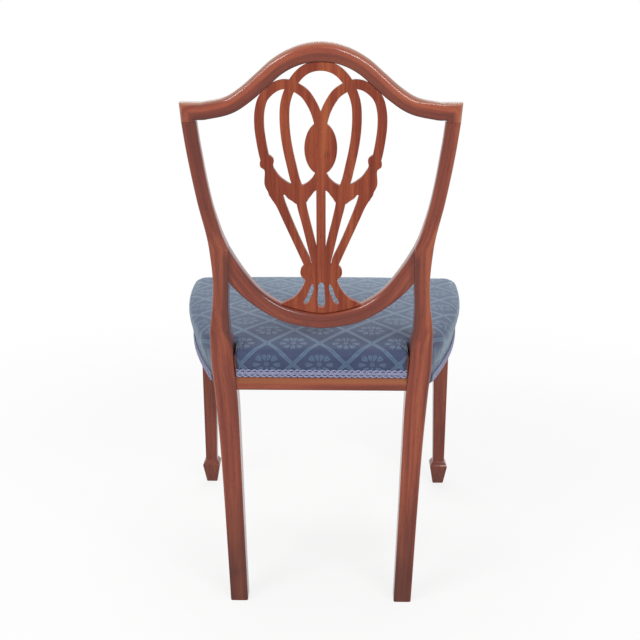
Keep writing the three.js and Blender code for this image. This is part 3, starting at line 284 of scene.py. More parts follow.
class Nodes:
    """Short way to write the nodes of a material or of the world."""

    def __init__(self, name, kind="Material"):
        self.owner = getattr(bpy.data, kind.lower() + "s").new(name)
        self.owner.use_nodes = True
        self.tree = self.owner.node_tree
        self.tree.nodes.clear()
        self.output = self.tree.nodes.new("ShaderNodeOutput" + kind)

    def add(self, kind, settings=None, which=0, **inputs):
        """Output of a new node, whose inputs go by name or, as in i2, by number."""
        node = self.tree.nodes.new("ShaderNode" + kind)
        for key, value in (settings or {}).items():
            setattr(node, key, value)
        for key, value in inputs.items():
            socket = node.inputs[int(key[1:]) if key[1:].isdigit() else key.replace("_", " ")]
            if isinstance(value, Value):
                self.tree.links.new(value.socket, socket)
            else:
                socket.default_value = value
        return Value(self, node.outputs[which])

    def math(self, operation, a, b=0.0):
        return self.add("Math", {"operation": operation}, i0=a, i1=b)

    def attribute(self, name, which="Vector"):
        return self.add("Attribute", {"attribute_name": name}, which)

    def split(self, vector):
        node = self.add("SeparateXYZ", Vector=vector).socket.node
        return [Value(self, socket) for socket in node.outputs]

    def noise(self, vector, scale, detail=3.0, roughness=0.5, distortion=0.0):
        return self.add("TexNoise", None, "Fac", Vector=vector, Scale=scale, Detail=detail,
                        Roughness=roughness, Distortion=distortion)

    def stretch(self, vector, scale, location=(0, 0, 0)):
        return self.add("Mapping", Vector=vector, Scale=scale, Location=location)

    def ramp(self, factor, stops):
        colour = self.add("ValToRGB", Fac=factor)
        elements = colour.socket.node.color_ramp.elements
        while len(elements) < len(stops):
            elements.new(0.5)
        for element, (place, shade) in zip(elements, stops):
            element.position = place
            element.color = (*shade, 1.0)
        return colour

    def band(self, value, low, high, out_low=0.0, out_high=1.0):
        return self.add("MapRange", {"interpolation_type": 'SMOOTHSTEP'}, Value=value, From_Min=low,
                        From_Max=high, To_Min=out_low, To_Max=out_high)

    def fade(self, value, low, high):
        return self.band(value, low, high, 1.0, 0.0)

    def mix_colour(self, factor, a, b):
        b = b if isinstance(b, Value) else (*b, 1.0)
        return self.add("Mix", {"data_type": 'RGBA'}, 2, i0=factor, i6=a, i7=b)

    def bump(self, height, strength, distance, normal=None):
        under = {"Normal": normal} if normal else {}
        return self.add("Bump", Height=height, Strength=strength, Distance=distance, **under)

    def in_sight(self):
        """One for rays from the camera, straight or by way of gloss or glass, and zero for light."""
        rays = self.add("LightPath").socket.node.outputs
        camera, glossy, through = (
            Value(self, rays[f"Is {kind} Ray"]) for kind in ("Camera", "Glossy", "Transmission"))
        return self.math("MAXIMUM", camera, self.math("MAXIMUM", glossy, through))

    def finish(self, shader):
        self.tree.links.new(shader.socket, self.output.inputs["Surface"])
        return self.owner

    def surface(self, **inputs):
        return self.finish(self.add("BsdfPrincipled", **inputs))


def wood(name, dark, middle, light, along_axis=None, seed=0.0, polish=0.75, roughness=0.36,
         edge_dark=0.0, worn_colour=(0.5, 0.36, 0.28)):
    """Wood whose grain runs along z of the "grain" attribute, or along an axis of a CAD node."""
    n = Nodes(name)
    place = n.attribute("grain") if along_axis is None else n.add("TexCoord", None, "Object")

    def grain(across, length, *texture):
        scale = [across] * 3
        scale[2 if along_axis is None else along_axis] = length
        return n.noise(n.stretch(place, scale, (seed, seed * 1.7, seed * 2.3)), 1.0, *texture)

    streaks = grain(95, 3.2, 4.0, 0.55, 0.35)
    ribbon = grain(34, 1.1, 2.0, 0.5, 0.6)
    fibre = grain(430, 11, 3.0, 0.6, 0.2)
    cloud = grain(9, 5, 2.0)
    pore = n.band(grain(1300, 60, 1.0), 0.62, 0.7)
    tone = streaks * 0.5 + ribbon * 0.26 + fibre * 0.14 + cloud * 0.1
    colour = n.ramp(tone, [(0.36, dark), (0.5, middle), (0.64, light)])
    colour = n.mix_colour(pore * 0.5, colour, [v * 0.45 for v in dark])
    if edge_dark:
        # The tone attribute is painted shade and a darker foot above zero, and painted reflection and painted
        # light on arrises and chamfers below it
        shade = n.attribute("tone", "Fac")
        patches = n.band(grain(60, 14, 3.0, 0.6), 0.2, 0.7, 0.65, 1.0)
        painted_light_share = n.math("MAXIMUM", shade * -1.0, 0.0) * 0.7 * patches
        colour = n.mix_colour(painted_light_share, colour, worn_colour)
        painted_shade_and_dark_foot_share = n.math("MAXIMUM", shade, 0.0) * (patches * edge_dark)
        colour = n.mix_colour(painted_shade_and_dark_foot_share, colour, [v * 0.35 for v in dark])
    gloss = grain(240, 160, 4.0, 0.7) * 0.16 + (roughness - 0.08) + pore * 0.12
    normal = n.bump(1.0 - pore, 0.4, 0.00008, n.bump(fibre, 0.35, 0.00006))
    return n.surface(Base_Color=colour, Roughness=gloss, Normal=normal, Specular_IOR_Level=0.12, IOR=1.5,
                     Coat_Weight=polish, Coat_Roughness=0.17, Coat_Normal=n.bump(cloud, 0.12, 0.0004))


# Dark, middle and light shades
MAHOGANY = (0.112, 0.015, 0.008), (0.23, 0.041, 0.019), (0.36, 0.088, 0.034)
BEECH = (0.33, 0.19, 0.09), (0.47, 0.29, 0.15), (0.58, 0.39, 0.22)


def mahogany(name, seed, warm=0.0, **extra):
    shades = [(r * (1 + warm), g * (1 + 1.3 * warm), b * (1 + 0.9 * warm)) for r, g, b in MAHOGANY]
    return wood(name, *shades, seed=seed, **extra)


def damask(name):
    """Satin damask: a paler trellis with a sprig in each diamond on a dark ground."""
    n = Nodes(name)
    place = n.attribute("grain")
    across, down, _ = n.split(place)
    aside, shifted = across - TRELLIS_ASIDE * MM, down - TRELLIS_SHIFT * MM
    wide, tall = aside / (TRELLIS_WIDTH * MM), shifted / (TRELLIS_LENGTH * MM)
    lean_a, lean_b = wide + tall, wide - tall
    spacing = 1 / math.hypot(1 / TRELLIS_WIDTH, 1 / TRELLIS_LENGTH)

    def line(value):
        return n.math("ABSOLUTE", value - n.math("ROUND", value)) * spacing

    nearest = n.math("MINIMUM", line(lean_a), line(lean_b))
    run = lean_a * spacing + lean_b * (spacing * 1.37)
    dots = n.band(n.math("SINE", run * (2 * math.pi / DOT_PITCH)), -0.3, 0.3)
    trellis = n.fade(nearest, 2.9, 3.8) - n.fade(nearest, 0.9, 1.7) * dots * 0.75

    # Place inside the diamond, from its centre, in millimetres
    cell_a, cell_b = (n.math("FLOOR", lean) + 0.5 for lean in (lean_a, lean_b))
    px = aside * (1 / MM) - (cell_a + cell_b) * (TRELLIS_WIDTH / 2)
    py = shifted * (1 / MM) - (cell_a - cell_b) * (TRELLIS_LENGTH / 2)

    def squared(value):
        return n.math("POWER", value, 2.0)

    def bud(angle, reach, length, width):
        """Teardrop that points away from the centre, with a split down its middle."""
        c, s = math.cos(math.radians(angle)), math.sin(math.radians(angle))
        u = px * c + (py * s - reach)
        v = py * c - px * s
        a = squared(n.math("ABSOLUTE", u / length))
        b = squared(n.math("ABSOLUTE", v / width / (u * 0.09 + 1.0)))
        slit = n.fade(n.math("ABSOLUTE", v), 0.35, 0.75) * n.band(u, -1.0, 0.5)
        return n.fade(a + b, 0.8, 1.1) - slit * 0.8

    flower = bud(270, 12.0, 6.0, 3.6)
    for angle, *shape in ((74, 12.5, 6.4, 3.0), (40, 16.0, 6.0, 4.6), (-4, 17.0, 6.6, 3.6),
                          (-46, 14.5, 5.6, 4.2)):
        for turned in (angle, 180 - angle):
            flower = n.math("MAXIMUM", flower, bud(turned, *shape))
    from_middle = n.math("SQRT", squared(px) + squared(py))
    heart = n.fade(from_middle, 3.6, 4.2) - n.fade(from_middle, 1.2, 1.6)
    flower = n.math("MAXIMUM", n.math("MAXIMUM", flower, heart), 0.0)
    figure = n.math("MAXIMUM", trellis, flower * 0.8)

    warp, weft = (n.math("SINE", value * (2 * math.pi / (THREAD_PITCH * MM))) for value in (across, down))
    weave = n.add("Mix", {"data_type": 'FLOAT'}, i0=figure, i2=warp, i3=weft)
    slub = n.noise(n.stretch(place, (40, 900, 900)), 1.0, 2.0, 0.6)
    soft = n.noise(place, 26.0, 3.0, 0.6)
    ground = n.ramp(soft, [(0.3, (0.03, 0.05, 0.12)), (0.7, (0.052, 0.068, 0.138))])
    bright = n.ramp(slub, [(0.35, (0.085, 0.15, 0.25)), (0.65, (0.125, 0.205, 0.31))])
    colour = n.mix_colour(figure * 0.85, ground, bright)
    colour = n.mix_colour(weave * 0.04 + 0.04, colour, (0.25, 0.3, 0.4))
    mottle = n.noise(n.stretch(place, (240, 520, 520)), 1.0, 3.0, 0.65)
    colour = n.mix_colour(n.band(mottle, 0.42, 0.68, 0.0, 0.4), colour, (0.045, 0.042, 0.095))
    return n.surface(Base_Color=colour, Roughness=figure * -0.16 + 0.72,
                     Normal=n.bump(figure, 0.5, 0.00018, n.bump(weave, 0.35, 0.00009)), Sheen_Weight=1.0,
                     Sheen_Roughness=0.34, Sheen_Tint=(0.74, 0.9, 1.0, 1.0), Specular_IOR_Level=0.4)


def woven(name, dark, light, pitch, stripe=None):
    """Plain weave of jute in the cloth coordinates of the "grain" attribute."""
    n = Nodes(name)
    place = n.attribute("grain")
    across, down, _ = n.split(place)
    wobble = n.noise(place, 60.0, 2.0, 0.5)

    def wave(value):
        return n.math("SINE", (wobble * (pitch * 0.8 * MM) + value) * (2 * math.pi / (pitch * MM)))

    weave = wave(across) * wave(down)
    fuzz = n.noise(place, 1100.0, 2.0, 0.7)
    colour = n.ramp(weave * 0.25 + (fuzz * 0.5 + 0.25), [(0.2, dark), (0.8, light)])
    if stripe:
        middle, half, shade = stripe
        off = n.math("ABSOLUTE", n.math("ABSOLUTE", across) - middle * MM)
        colour = n.mix_colour(n.band(off, half * 0.9 * MM, half * 1.1 * MM, 0.8, 0.0), colour, shade)
    return n.surface(Base_Color=colour, Roughness=0.9, Normal=n.bump(weave + fuzz, 0.6, 0.00035),
                     Sheen_Weight=0.15)


def braid_material():
    n = Nodes("braid")
    around, _, run = n.split(n.attribute("grain"))
    strand = n.math("SINE", run * (2 * math.pi / (1.6 * MM)) + around * (1 / MM))
    fuzz = n.noise(n.add("TexCoord", None, "Object"), 700.0, 3.0, 0.6)
    colour = n.ramp(strand * 0.26 + (fuzz * 0.7 + 0.15),
                    [(0.2, (0.08, 0.09, 0.2)), (0.52, (0.28, 0.295, 0.47)), (0.85, (0.56, 0.57, 0.74))])
    return n.surface(Base_Color=colour, Roughness=0.66, Normal=n.bump(strand, 0.5, 0.00018),
                     Sheen_Weight=0.25)


def steel_material():
    n = Nodes("steel")
    place = n.add("TexCoord", None, "Object")
    turn = n.noise(n.stretch(place, (900, 900, 120)), 1.0, 2.0, 0.6)
    spots = n.noise(place, 140.0, 3.0, 0.6)
    colour = n.ramp(spots, [(0.35, (0.3, 0.29, 0.28)), (0.65, (0.55, 0.54, 0.52))])
    return n.surface(Base_Color=colour, Metallic=1.0, Normal=n.bump(turn, 0.3, 0.00005),
                     Roughness=turn * 0.3 + 0.25)


def wadding_material():
    n = Nodes("wadding")
    fluff = n.noise(n.add("TexCoord", None, "Object"), 160.0, 5.0, 0.7)
    colour = n.ramp(fluff, [(0.3, (0.5, 0.45, 0.36)), (0.7, (0.72, 0.68, 0.58))])
    return n.surface(Base_Color=colour, Roughness=1.0, Normal=n.bump(fluff, 0.8, 0.002), Sheen_Weight=0.2)

# The back's curves

def rear_y(x, z):
    """How far a rear face of the back lies behind the posts' rear faces at the seat."""
    if z < RAIL_BOTTOM:
        return FOOT_RAKE * (1 - z / RAIL_BOTTOM) ** FOOT_CURVE
    if z < BEND_START:
        return 0.0
    run = BEND_END - BEND_START
    if z < BEND_END:
        lean = SHIELD_RAKE * (z - BEND_START) ** 2 / (2 * run)
    else:
        lean = SHIELD_RAKE * (run / 2 + z - BEND_END)
    return lean + SHIELD_BOW * max(0.0, z - BOW_START) * (1 - (x / SHIELD_HALF) ** 2)


def bar_section(width, depth, rear_outer, rear_inner, front, crown, ridge):
    """Ring of (across, deep) places: across 0 is the inner edge and deep 0 the front face."""
    limit = min(width, depth) * 0.49
    ro, ri, fr = (min(r, limit) for r in (rear_outer, rear_inner, front))
    corners = [(width - ro, depth - ro, ro, 0), (ri, depth - ri, ri, 90),
               (fr, fr, fr, 180), (width - fr, fr, fr, 270)]
    turns, spans = 8, (12, 4, 6, 4)
    arcs = [[(a + r * math.cos(math.radians(start + 90 * k / turns)),
              b + r * math.sin(math.radians(start + 90 * k / turns))) for k in range(turns + 1)]
            for a, b, r, start in corners]
    ring = []
    for arc, follow, span in zip(arcs, arcs[1:] + arcs[:1], spans):
        ring += arc + [(mix(arc[-1][0], follow[0][0], k / span), mix(arc[-1][1], follow[0][1], k / span))
                       for k in range(1, span)]

    def crowned(a, b):
        t = 2 * a / width - 1
        fall = (math.sqrt(t * t + ridge * ridge) - ridge) / (math.sqrt(1 + ridge * ridge) - ridge)
        return a, b - crown * fall * b / depth

    return [crowned(a, b) for a, b in ring]


def rim_ring(outer, inner, depth, section, side):
    """Section laid between an outer and an inner point of the back, on its curved rear face."""
    width = math.dist(outer, inner)
    ring = []
    for across, deep in section:
        x = mix(inner[0], outer[0], across / width)
        z = mix(inner[1], outer[1], across / width)
        ring.append((side * x, REAR_Y + rear_y(x, z) - (depth - deep), z))
    return ring


def rim_member(name, stations, material, replaced, mirrored=False, side=1, seed=(0, 0, 0)):
    """Bar through stations of (outer, inner, depth, section, tone at shares across and deep)."""
    rings, grains, tones = [], [], []
    run, before = 0.0, None
    for outer, inner, depth, section, tone_of in stations:
        middle = ((outer[0] + inner[0]) / 2, (outer[1] + inner[1]) / 2)
        run += math.dist(before or middle, middle)
        before = middle
        width = math.dist(outer, inner)
        rings.append(rim_ring(outer, inner, depth, section, side))
        grains.append([(a + seed[0], b + seed[1], run + seed[2]) for a, b in section])
        tones.append([tone_of(a / width, b / depth) for a, b in section])
    if mirrored:
        rings = [[(-x, y, z) for x, y, z in ring] for ring in rings[:0:-1]] + rings
        grains = [[(a, b, 2 * seed[2] - s) for a, b, s in ring] for ring in grains[:0:-1]] + grains
        tones = tones[:0:-1] + tones
    return loft_piece(name, rings, grains, material, "mahogany", replaced, tones)


# Crest

CREST_TOP = [
    (0, 1), (0.14, 0.965), (0.27, 0.87), (0.4, 0.715), (0.53, 0.49), (0.67, 0.25), (0.8, 0.088), (1, 0)]
CREST_INNER_X = SHIELD_HALF - STILE_WIDTH


def crest_edges():
    """Pairs of a point on the crest's top edge and the one under it on the lower edge."""
    top = curve([(a * CREST_SHOULDER, CREST_END_Z + b * CREST_RISE) for a, b in CREST_TOP], CREST_STEPS, True)
    edges = []
    for i, (x, z) in enumerate(top):
        a, b = top[max(0, i - 1)], top[min(len(top) - 1, i + 1)]
        run = (1.0, 0.0) if i == 0 else (b[0] - a[0], b[1] - a[1])
        reach = along(CREST_HEIGHTS, x) / math.hypot(*run)
        edges.append(((x, z), (x + run[1] * reach, z - run[0] * reach)))
    return edges


def crest_rail():
    def painted_shading(across, deep):
        """Painted reflection along the top edge, painted shade on the lower facet and along its last line, and
        a little darker on the front face.
        """
        if deep < 0.2:
            return 0.3
        lower = 0.5 * ease((0.52 - across) / 0.1) + 0.5 * clamp(1 - across * 14)
        return lower - 0.85 * ease((across - 0.78) / 0.22)

    stations = []
    for outer, inner in crest_edges():
        share = outer[0] / CREST_SHOULDER
        depth = mix(CREST_DEPTH, STILE_DEPTH, share)
        fade = 1 - ease((share - 0.7) / 0.3)
        section = bar_section(math.dist(outer, inner), depth, mix(4.5, 9.0, fade), mix(2.4, 2.6, fade), 4.0,
                              mix(0.8, 3.0, fade), 0.22)
        stations.append((outer, inner, depth, section, painted_shading))
    low_z = CREST_END_Z - CREST_HEIGHTS[-1][1]
    turns = [((mix(CREST_SHOULDER, SHIELD_HALF, s), CREST_END_Z),
              (mix(CREST_SHOULDER, CREST_INNER_X, s), low_z))
             for s in (0.15, 0.3, 0.45, 0.6, 0.75, 0.88, 0.96, 1.0)]
    turns += [((mix(SHIELD_HALF, STILE_TOP_X, s), mix(CREST_END_Z, CREST_JOINT_Z, s)),
               (mix(CREST_INNER_X, STILE_TOP_X - STILE_WIDTH, s), mix(low_z, CREST_JOINT_Z, s)))
              for s in (0.04, 0.12, 0.25, 0.4, 0.6, 0.8, 1.0)]
    for at, (outer, inner) in enumerate(turns):
        share = at / (len(turns) - 1)
        section = bar_section(math.dist(outer, inner), STILE_DEPTH, mix(4.5, 2.4, share), mix(2.4, 6.5, share),
                              4.0, 0.8, 0.3)
        stations.append((outer, inner, STILE_DEPTH, section, painted_shading))
    rim_member("crest", stations, mahogany("mahogany_crest", 3.1, 0.3, edge_dark=0.8), "crest_rail",
               mirrored=True)


# Back posts

POST_OUTER = (
    spread(0, RAIL_BOTTOM, FOOT_OUTER, KNEE_OUTER, [(0, 0), (0.73, 0.55), (1, 0.83)])
    + spread(RAIL_TOP, THROAT_Z, KNEE_OUTER, THROAT_OUTER, [(0, 0), (0.34, 0), (0.6, 0.34), (0.82, 0.7)])
    + [(mix(THROAT_Z, EAR_TOP_Z, 0.3), THROAT_OUTER)]
    + spread(EAR_TOP_Z, CREST_JOINT_Z, THROAT_OUTER, STILE_TOP_X,
             [(0, 0.09), (0.4, 0.523), (0.77, 0.85), (1, 1)]))
LOWER_POST_WIDTH = (
    spread(0, RAIL_BOTTOM, FOOT_WIDTH, KNEE_WIDTH, [(0, 0), (0.4, 0.2), (0.72, 0.54), (1, 1)])
    + spread(RAIL_TOP, THROAT_Z, KNEE_WIDTH, THROAT_WIDTH,
             [(0.16, 0), (0.34, 0.274), (0.48, 0.516), (0.6, 0.677), (0.85, 0.976), (1, 1)])
    + [(EAR_CROTCH_Z, THROAT_OUTER - EAR_CROTCH_X - CLEARANCE)])
# Inner edge of the stiles, where the shield's opening is
LOOP_INNER = spread(
    EAR_TOP_Z, CREST_JOINT_Z, EAR_TOP_X + CLEARANCE, STILE_TOP_X - STILE_WIDTH,
    [(0, 0), (0.1, 0.2), (0.23, 0.387), (0.36, 0.546), (0.49, 0.669), (0.62, 0.772), (0.75, 0.859),
     (0.87, 0.937), (1, 1)])
POST_DEPTH = [
    (0, FOOT_DEPTH), (RAIL_BOTTOM, KNEE_DEPTH), (RAIL_TOP, KNEE_DEPTH), (BEND_END, THROAT_DEPTH),
    (EAR_TOP_Z, THROAT_DEPTH), (mix(EAR_TOP_Z, CREST_JOINT_Z, 0.4), STILE_DEPTH), (CREST_JOINT_Z, STILE_DEPTH)]


def post_inner_x(z):
    """Inner edge of the left post, whose ear covers the lower rail's end in the middle part."""
    if z <= EAR_CROTCH_Z:
        return along(POST_OUTER, z) - along(LOWER_POST_WIDTH, z)
    if z <= EAR_TOP_Z:
        share = (z - EAR_CROTCH_Z) / (EAR_TOP_Z - EAR_CROTCH_Z)
        return CLEARANCE + mix(EAR_CROTCH_X, EAR_TOP_X, share)
    return along(LOOP_INNER, z)


def fairing(below_top):
    """Fall of the rim's rounded edge at a height below its inner edge."""
    if below_top >= RIM_RADIUS:
        return 0.0
    return RIM_RADIUS - math.sqrt(RIM_RADIUS ** 2 - (RIM_RADIUS - max(0.0, below_top)) ** 2)


def back_post(side, hand):
    def painted_shading(z):
        """Painted shade in a band on a stile's inner half and along the inner edge at the seat, darker on the
        front and at the foot, and a painted highlight on the outer rear arris.
        """
        band = (0.6 if side > 0 else 0.25) * ease((z - EAR_TOP_Z) / 40)
        facet = 0.85 * ease((EAR_TOP_Z - z) / 20)
        reach = 0.4 * clamp((z - RAIL_TOP + 10) / 60)
        foot = 0.95 * clamp(1.3 - z / 170) + 0.05

        def tone(across, deep):
            if deep < 0.5:
                return max(0.2, foot)
            dark = band * math.exp(-((across - 0.36) / 0.16) ** 2) + facet * clamp((reach - across) / 0.14)
            return max(dark, foot) - 0.7 * clamp((across - 0.94) / 0.06) * clamp((deep - 0.9) / 0.05)

        return tone

    levels = [0.0, 0.5, 1.4, 3.0] + steps(8.0, RAIL_BOTTOM, 34) + steps(RAIL_BOTTOM, EAR_CROTCH_Z, 60, 1)
    levels += steps(EAR_CROTCH_Z, EAR_TOP_Z - RIM_RADIUS, 10, 1)
    levels += steps(EAR_TOP_Z - RIM_RADIUS, EAR_TOP_Z, 8, 1)
    levels += [mix(EAR_TOP_Z, CREST_JOINT_Z - CLEARANCE, s ** 1.1) for s in steps(0, 1, 60, 1)]
    stations = []
    for z in levels:
        foot_arris = {0.0: 1.1, 0.5: 0.45, 1.4: 0.1}.get(z, 0.0)
        outer, inner = along(POST_OUTER, z) - foot_arris, post_inner_x(z) + foot_arris
        if z < EAR_CROTCH_Z:
            rear_inner = 1.5
        elif z < EAR_TOP_Z:
            rear_inner = max(0.25, fairing(EAR_TOP_Z - z))
        else:
            rear_inner = RIM_RADIUS
        up = ease((z - EAR_TOP_Z) / 60)
        depth = along(POST_DEPTH, z)
        section = bar_section(outer - inner, depth, mix(1.5, 2.4, up), rear_inner, mix(1.5, 4.0, up),
                              mix(0.25, 0.8, up), 0.5)
        stations.append(((outer, z), (inner, z), depth, section, painted_shading(z)))
    seed, warm = (5.3, 0.0) if side > 0 else (13.7, 0.14)
    rim_member(f"{hand}_post", stations, mahogany(f"mahogany_{hand}_post", seed, warm, edge_dark=0.75),
               f"{hand}_back_post", side=side, seed=(11 * seed, 7 * seed, 90 * seed))

# Lower rail of the shield

LOWER_OUTER = [
    (0, 0), (0.23, 0.046), (0.415, 0.137), (0.56, 0.27), (0.69, 0.4255), (0.81, 0.6085), (0.905, 0.785), (1, 1)]
LOWER_INNER = [
    (0, 0), (0.195, 0.035), (0.404, 0.12), (0.565, 0.24), (0.701, 0.4), (0.821, 0.61), (0.914, 0.8), (1, 1)]


def lower_rail_edges():
    """Pairs of a point on the rail's under edge and one on its inner edge."""
    under = spread(0, EAR_CROTCH_X, LOWER_RAIL_Z, EAR_CROTCH_Z, LOWER_OUTER)
    over = spread(0, EAR_TOP_X, LOWER_RAIL_Z + LOWER_RAIL_HEIGHT, EAR_TOP_Z, LOWER_INNER)
    return list(zip(curve(under, LOWER_RAIL_STEPS, True), curve(over, LOWER_RAIL_STEPS, True)))


def shield_lower_rail():
    def painted_shading(share):
        """Painted shade along the under edge and where the rail runs out in the posts, and a little darker on
        the front face.
        """
        crotch = 0.7 * ease((share - 0.88) / 0.12)

        def tone(across, deep):
            return max(crotch, clamp(1 - (1 - across) * 13)) if deep > 0.2 else 0.3

        return tone

    stations = []
    for i, (under, inner) in enumerate(lower_rail_edges()):
        share = i / LOWER_RAIL_STEPS
        depth = mix(LOWER_RAIL_DEPTH, THROAT_DEPTH, share * share)
        crown = mix(2.4, 0.3, ease((share - 0.55) / 0.45))
        section = bar_section(math.dist(under, inner), depth, 2.0, RIM_RADIUS, 4.0, crown, 0.25)
        stations.append((under, inner, depth, section, painted_shading(share)))
    rim_member("lower_rail", stations, mahogany("mahogany_lower_rail", 1.7, edge_dark=0.8),
               "shield_lower_rail", mirrored=True, seed=(40, 60, 500))


# Splat

# Middle lines of the hoops
SIDE_HOOP = [
    (0.915, 0.636), (0.935, 0.655), (0.972, 0.705), (0.998, 0.765), (0.985, 0.82), (0.925, 0.865),
    (0.81, 0.895), (0.665, 0.914), (0.53, 0.917), (0.39, 0.905), (0.255, 0.884), (0.155, 0.852),
    (0.09, 0.822), (0.045, 0.79), (0, 0.745)]
MIDDLE_HOOP_HALF = [
    (0.36, 0.515), (0.424, 0.555), (0.479, 0.61), (0.534, 0.67), (0.572, 0.73), (0.586, 0.79),
    (0.57, 0.845), (0.51, 0.89), (0.4, 0.936), (0.25, 0.968), (0.1, 0.981), (0, 0.983)]
# Leaf at a side hoop's foot with a lobe on each side of it, and the swag from there to the middle
LEAF = [
    (-0.05, 0.59), (0.1, 0.582), (0.135, 0.569), (0.177, 0.558), (0.2385, 0.546), (0.33, 0.537),
    (0.43, 0.537), (0.533, 0.546), (0.61, 0.558), (0.67, 0.569), (0.7135, 0.581), (0.7475, 0.593),
    (0.778, 0.604), (0.7895, 0.6155), (0.779, 0.625), (0.777, 0.634), (0.7885, 0.643), (0.82, 0.65),
    (0.862, 0.656), (0.93, 0.66), (0.98, 0.647), (0.991, 0.637), (1.003, 0.628), (1.0065, 0.617),
    (0.995, 0.608), (0.9645, 0.603), (0.935, 0.597), (0.9285, 0.588), (0.9385, 0.558), (0.9395, 0.546),
    (0.9305, 0.534), (0.9085, 0.522), (0.8845, 0.512), (0.872, 0.5), (0.8375, 0.487), (0.803, 0.475),
    (0.7, 0.48), (0.615, 0.501), (0.5585, 0.487), (0.482, 0.475), (0.411, 0.463), (0.33, 0.458),
    (0.25, 0.469), (0.1985, 0.487), (0.157, 0.499), (0.1235, 0.51), (0.083, 0.518), (-0.05, 0.525)]
# Outer and inner edges of the bars that run down to the foot
OUTER_BAR = (
    [(0.86, 0.5), (0.803, 0.475), (0.7435, 0.451), (0.6465, 0.398), (0.555, 0.349), (0.462, 0.299),
     (0.369, 0.249), (0.302, 0.212)],
    [(0.17, 0.212), (0.185, 0.23), (0.2125, 0.249), (0.312, 0.299), (0.403, 0.349), (0.4865, 0.398),
     (0.572, 0.451), (0.6065, 0.475), (0.64, 0.505)])
INNER_BAR = (
    [(0.42, 0.48), (0.3985, 0.451), (0.342, 0.398), (0.2905, 0.349), (0.2425, 0.299), (0.194, 0.249),
     (0.172, 0.228), (0.162, 0.212)],
    [(0.04, 0.212), (0.075, 0.28), (0.0855, 0.296), (0.1055, 0.316), (0.138, 0.349), (0.1885, 0.398),
     (0.238, 0.451), (0.26, 0.49)])
FOOT_LOBE = [
    (0.302, 0.214), (0.315, 0.206), (0.342, 0.199), (0.36, 0.187), (0.363, 0.177),
    (0.352, 0.167), (0.33, 0.159), (0.292, 0.152), (0.279, 0.146), (0.287, 0.138), (0.312, 0.124),
    (0.345, 0.108), (0.385, 0.095), (0.46, 0.075), (0.54, 0.062), (0.64, 0.051), (0.675, 0.046),
    (0.69, 0.038)]
FOOT_UNDER = [(0.69, 0.034), (0.43, 0.0125), (0.2, 0.0015), (0, 0)]
DROP = [(0, 0.138), (0.045, 0.13), (0.055, 0.1), (0.068, 0.055), (0.05, 0.032), (0, 0.026)]
HOOK = [(-0.16, 0.13), (-0.205, 0.108), (-0.25, 0.077), (-0.315, 0.048), (-0.28, 0.042), (-0.225, 0.05),
        (-0.17, 0.08), (-0.135, 0.105), (-0.145, 0.128)]


def splat_point(share):
    """Place of a share of the splat's half width and of its height."""
    return share[0] * SPLAT_HALF, SPLAT_BASE + share[1] * (SPLAT_TOP - SPLAT_BASE)


def splat_curve(shares, count, spacing):
    return resample(curve([splat_point(s) for s in shares], count), spacing)


def both_halves(half):
    """Closed outline from its right half, which starts and ends on the middle line."""
    return half + flip(half, -1)[::-1][1:-1]


def band_outline(shares, count):
    middle = splat_curve(shares, count, 2.0)
    edges = [], []
    for i, (x, z) in enumerate(middle):
        a, b = middle[max(0, i - 1)], middle[min(len(middle) - 1, i + 1)]
        dx, dz = b[0] - a[0], b[1] - a[1]
        for edge, sign in zip(edges, (1, -1)):
            reach = sign * SPLAT_BAND / 2 / math.hypot(dx, dz)
            edge.append((x - dz * reach, z + dx * reach))
    return edges[0] + edges[1][::-1]


def splat_planks():
    """Overlapping flat outlines that the splat is made of."""
    pairs = [band_outline(SIDE_HOOP, 180), splat_curve(LEAF, 400, 1.4)]
    pairs += [splat_curve(outer, 100, 2.0) + splat_curve(inner, 100, 2.0)
              for outer, inner in (OUTER_BAR, INNER_BAR)]
    planks = [band_outline(MIDDLE_HOOP_HALF + flip(MIDDLE_HOOP_HALF, -1)[::-1][1:], 300)]
    for outline in pairs:
        planks += [outline, flip(outline, -1)]
    middle_z, head_z, waist_z, swag_z = (splat_point((0, share))[1] for share in (0.68, 0.8, 0.2, 0.55))
    planks.append([(OVAL_HALF_WIDTH * math.cos(2 * math.pi * i / 110),
                    middle_z + OVAL_HALF_HEIGHT * math.sin(2 * math.pi * i / 110)) for i in range(110)])
    neck, bar = SPLAT_BAND * 0.6, SPLAT_BAND * 0.5
    planks.append([(-neck, swag_z), (neck, swag_z), (neck * 1.2, head_z), (-neck * 1.2, head_z)])
    planks.append([(-bar, waist_z), (bar, waist_z), (bar, swag_z), (-bar, swag_z)])
    foot = [splat_point((0, 0.214))] + splat_curve(FOOT_LOBE, 200, 1.4) + splat_curve(FOOT_UNDER, 40, 2.5)
    return planks + [both_halves(foot)]


def splat_cuts():
    """Slots of the foot, and what lies beyond the crest's and the lower rail's edges."""
    hook = splat_curve(HOOK + HOOK[:1], 120, 1.3)[:-1]
    cuts = [both_halves(splat_curve(DROP, 80, 1.3)), hook, flip(hook, -1)]
    for edges, gap, end_x, end_z in (
            (crest_edges(), -CLEARANCE, CREST_INNER_X, CREST_END_Z + 2 * CREST_RISE),
            (lower_rail_edges(), CLEARANCE, EAR_TOP_X, LOWER_RAIL_Z - LOWER_RAIL_HEIGHT)):
        edge = [(x, z + gap) for _, (x, z) in edges]
        cuts.append(flip(edge, -1)[::-1][:-1] + edge + [(end_x, end_z), (-end_x, end_z)])
    return cuts


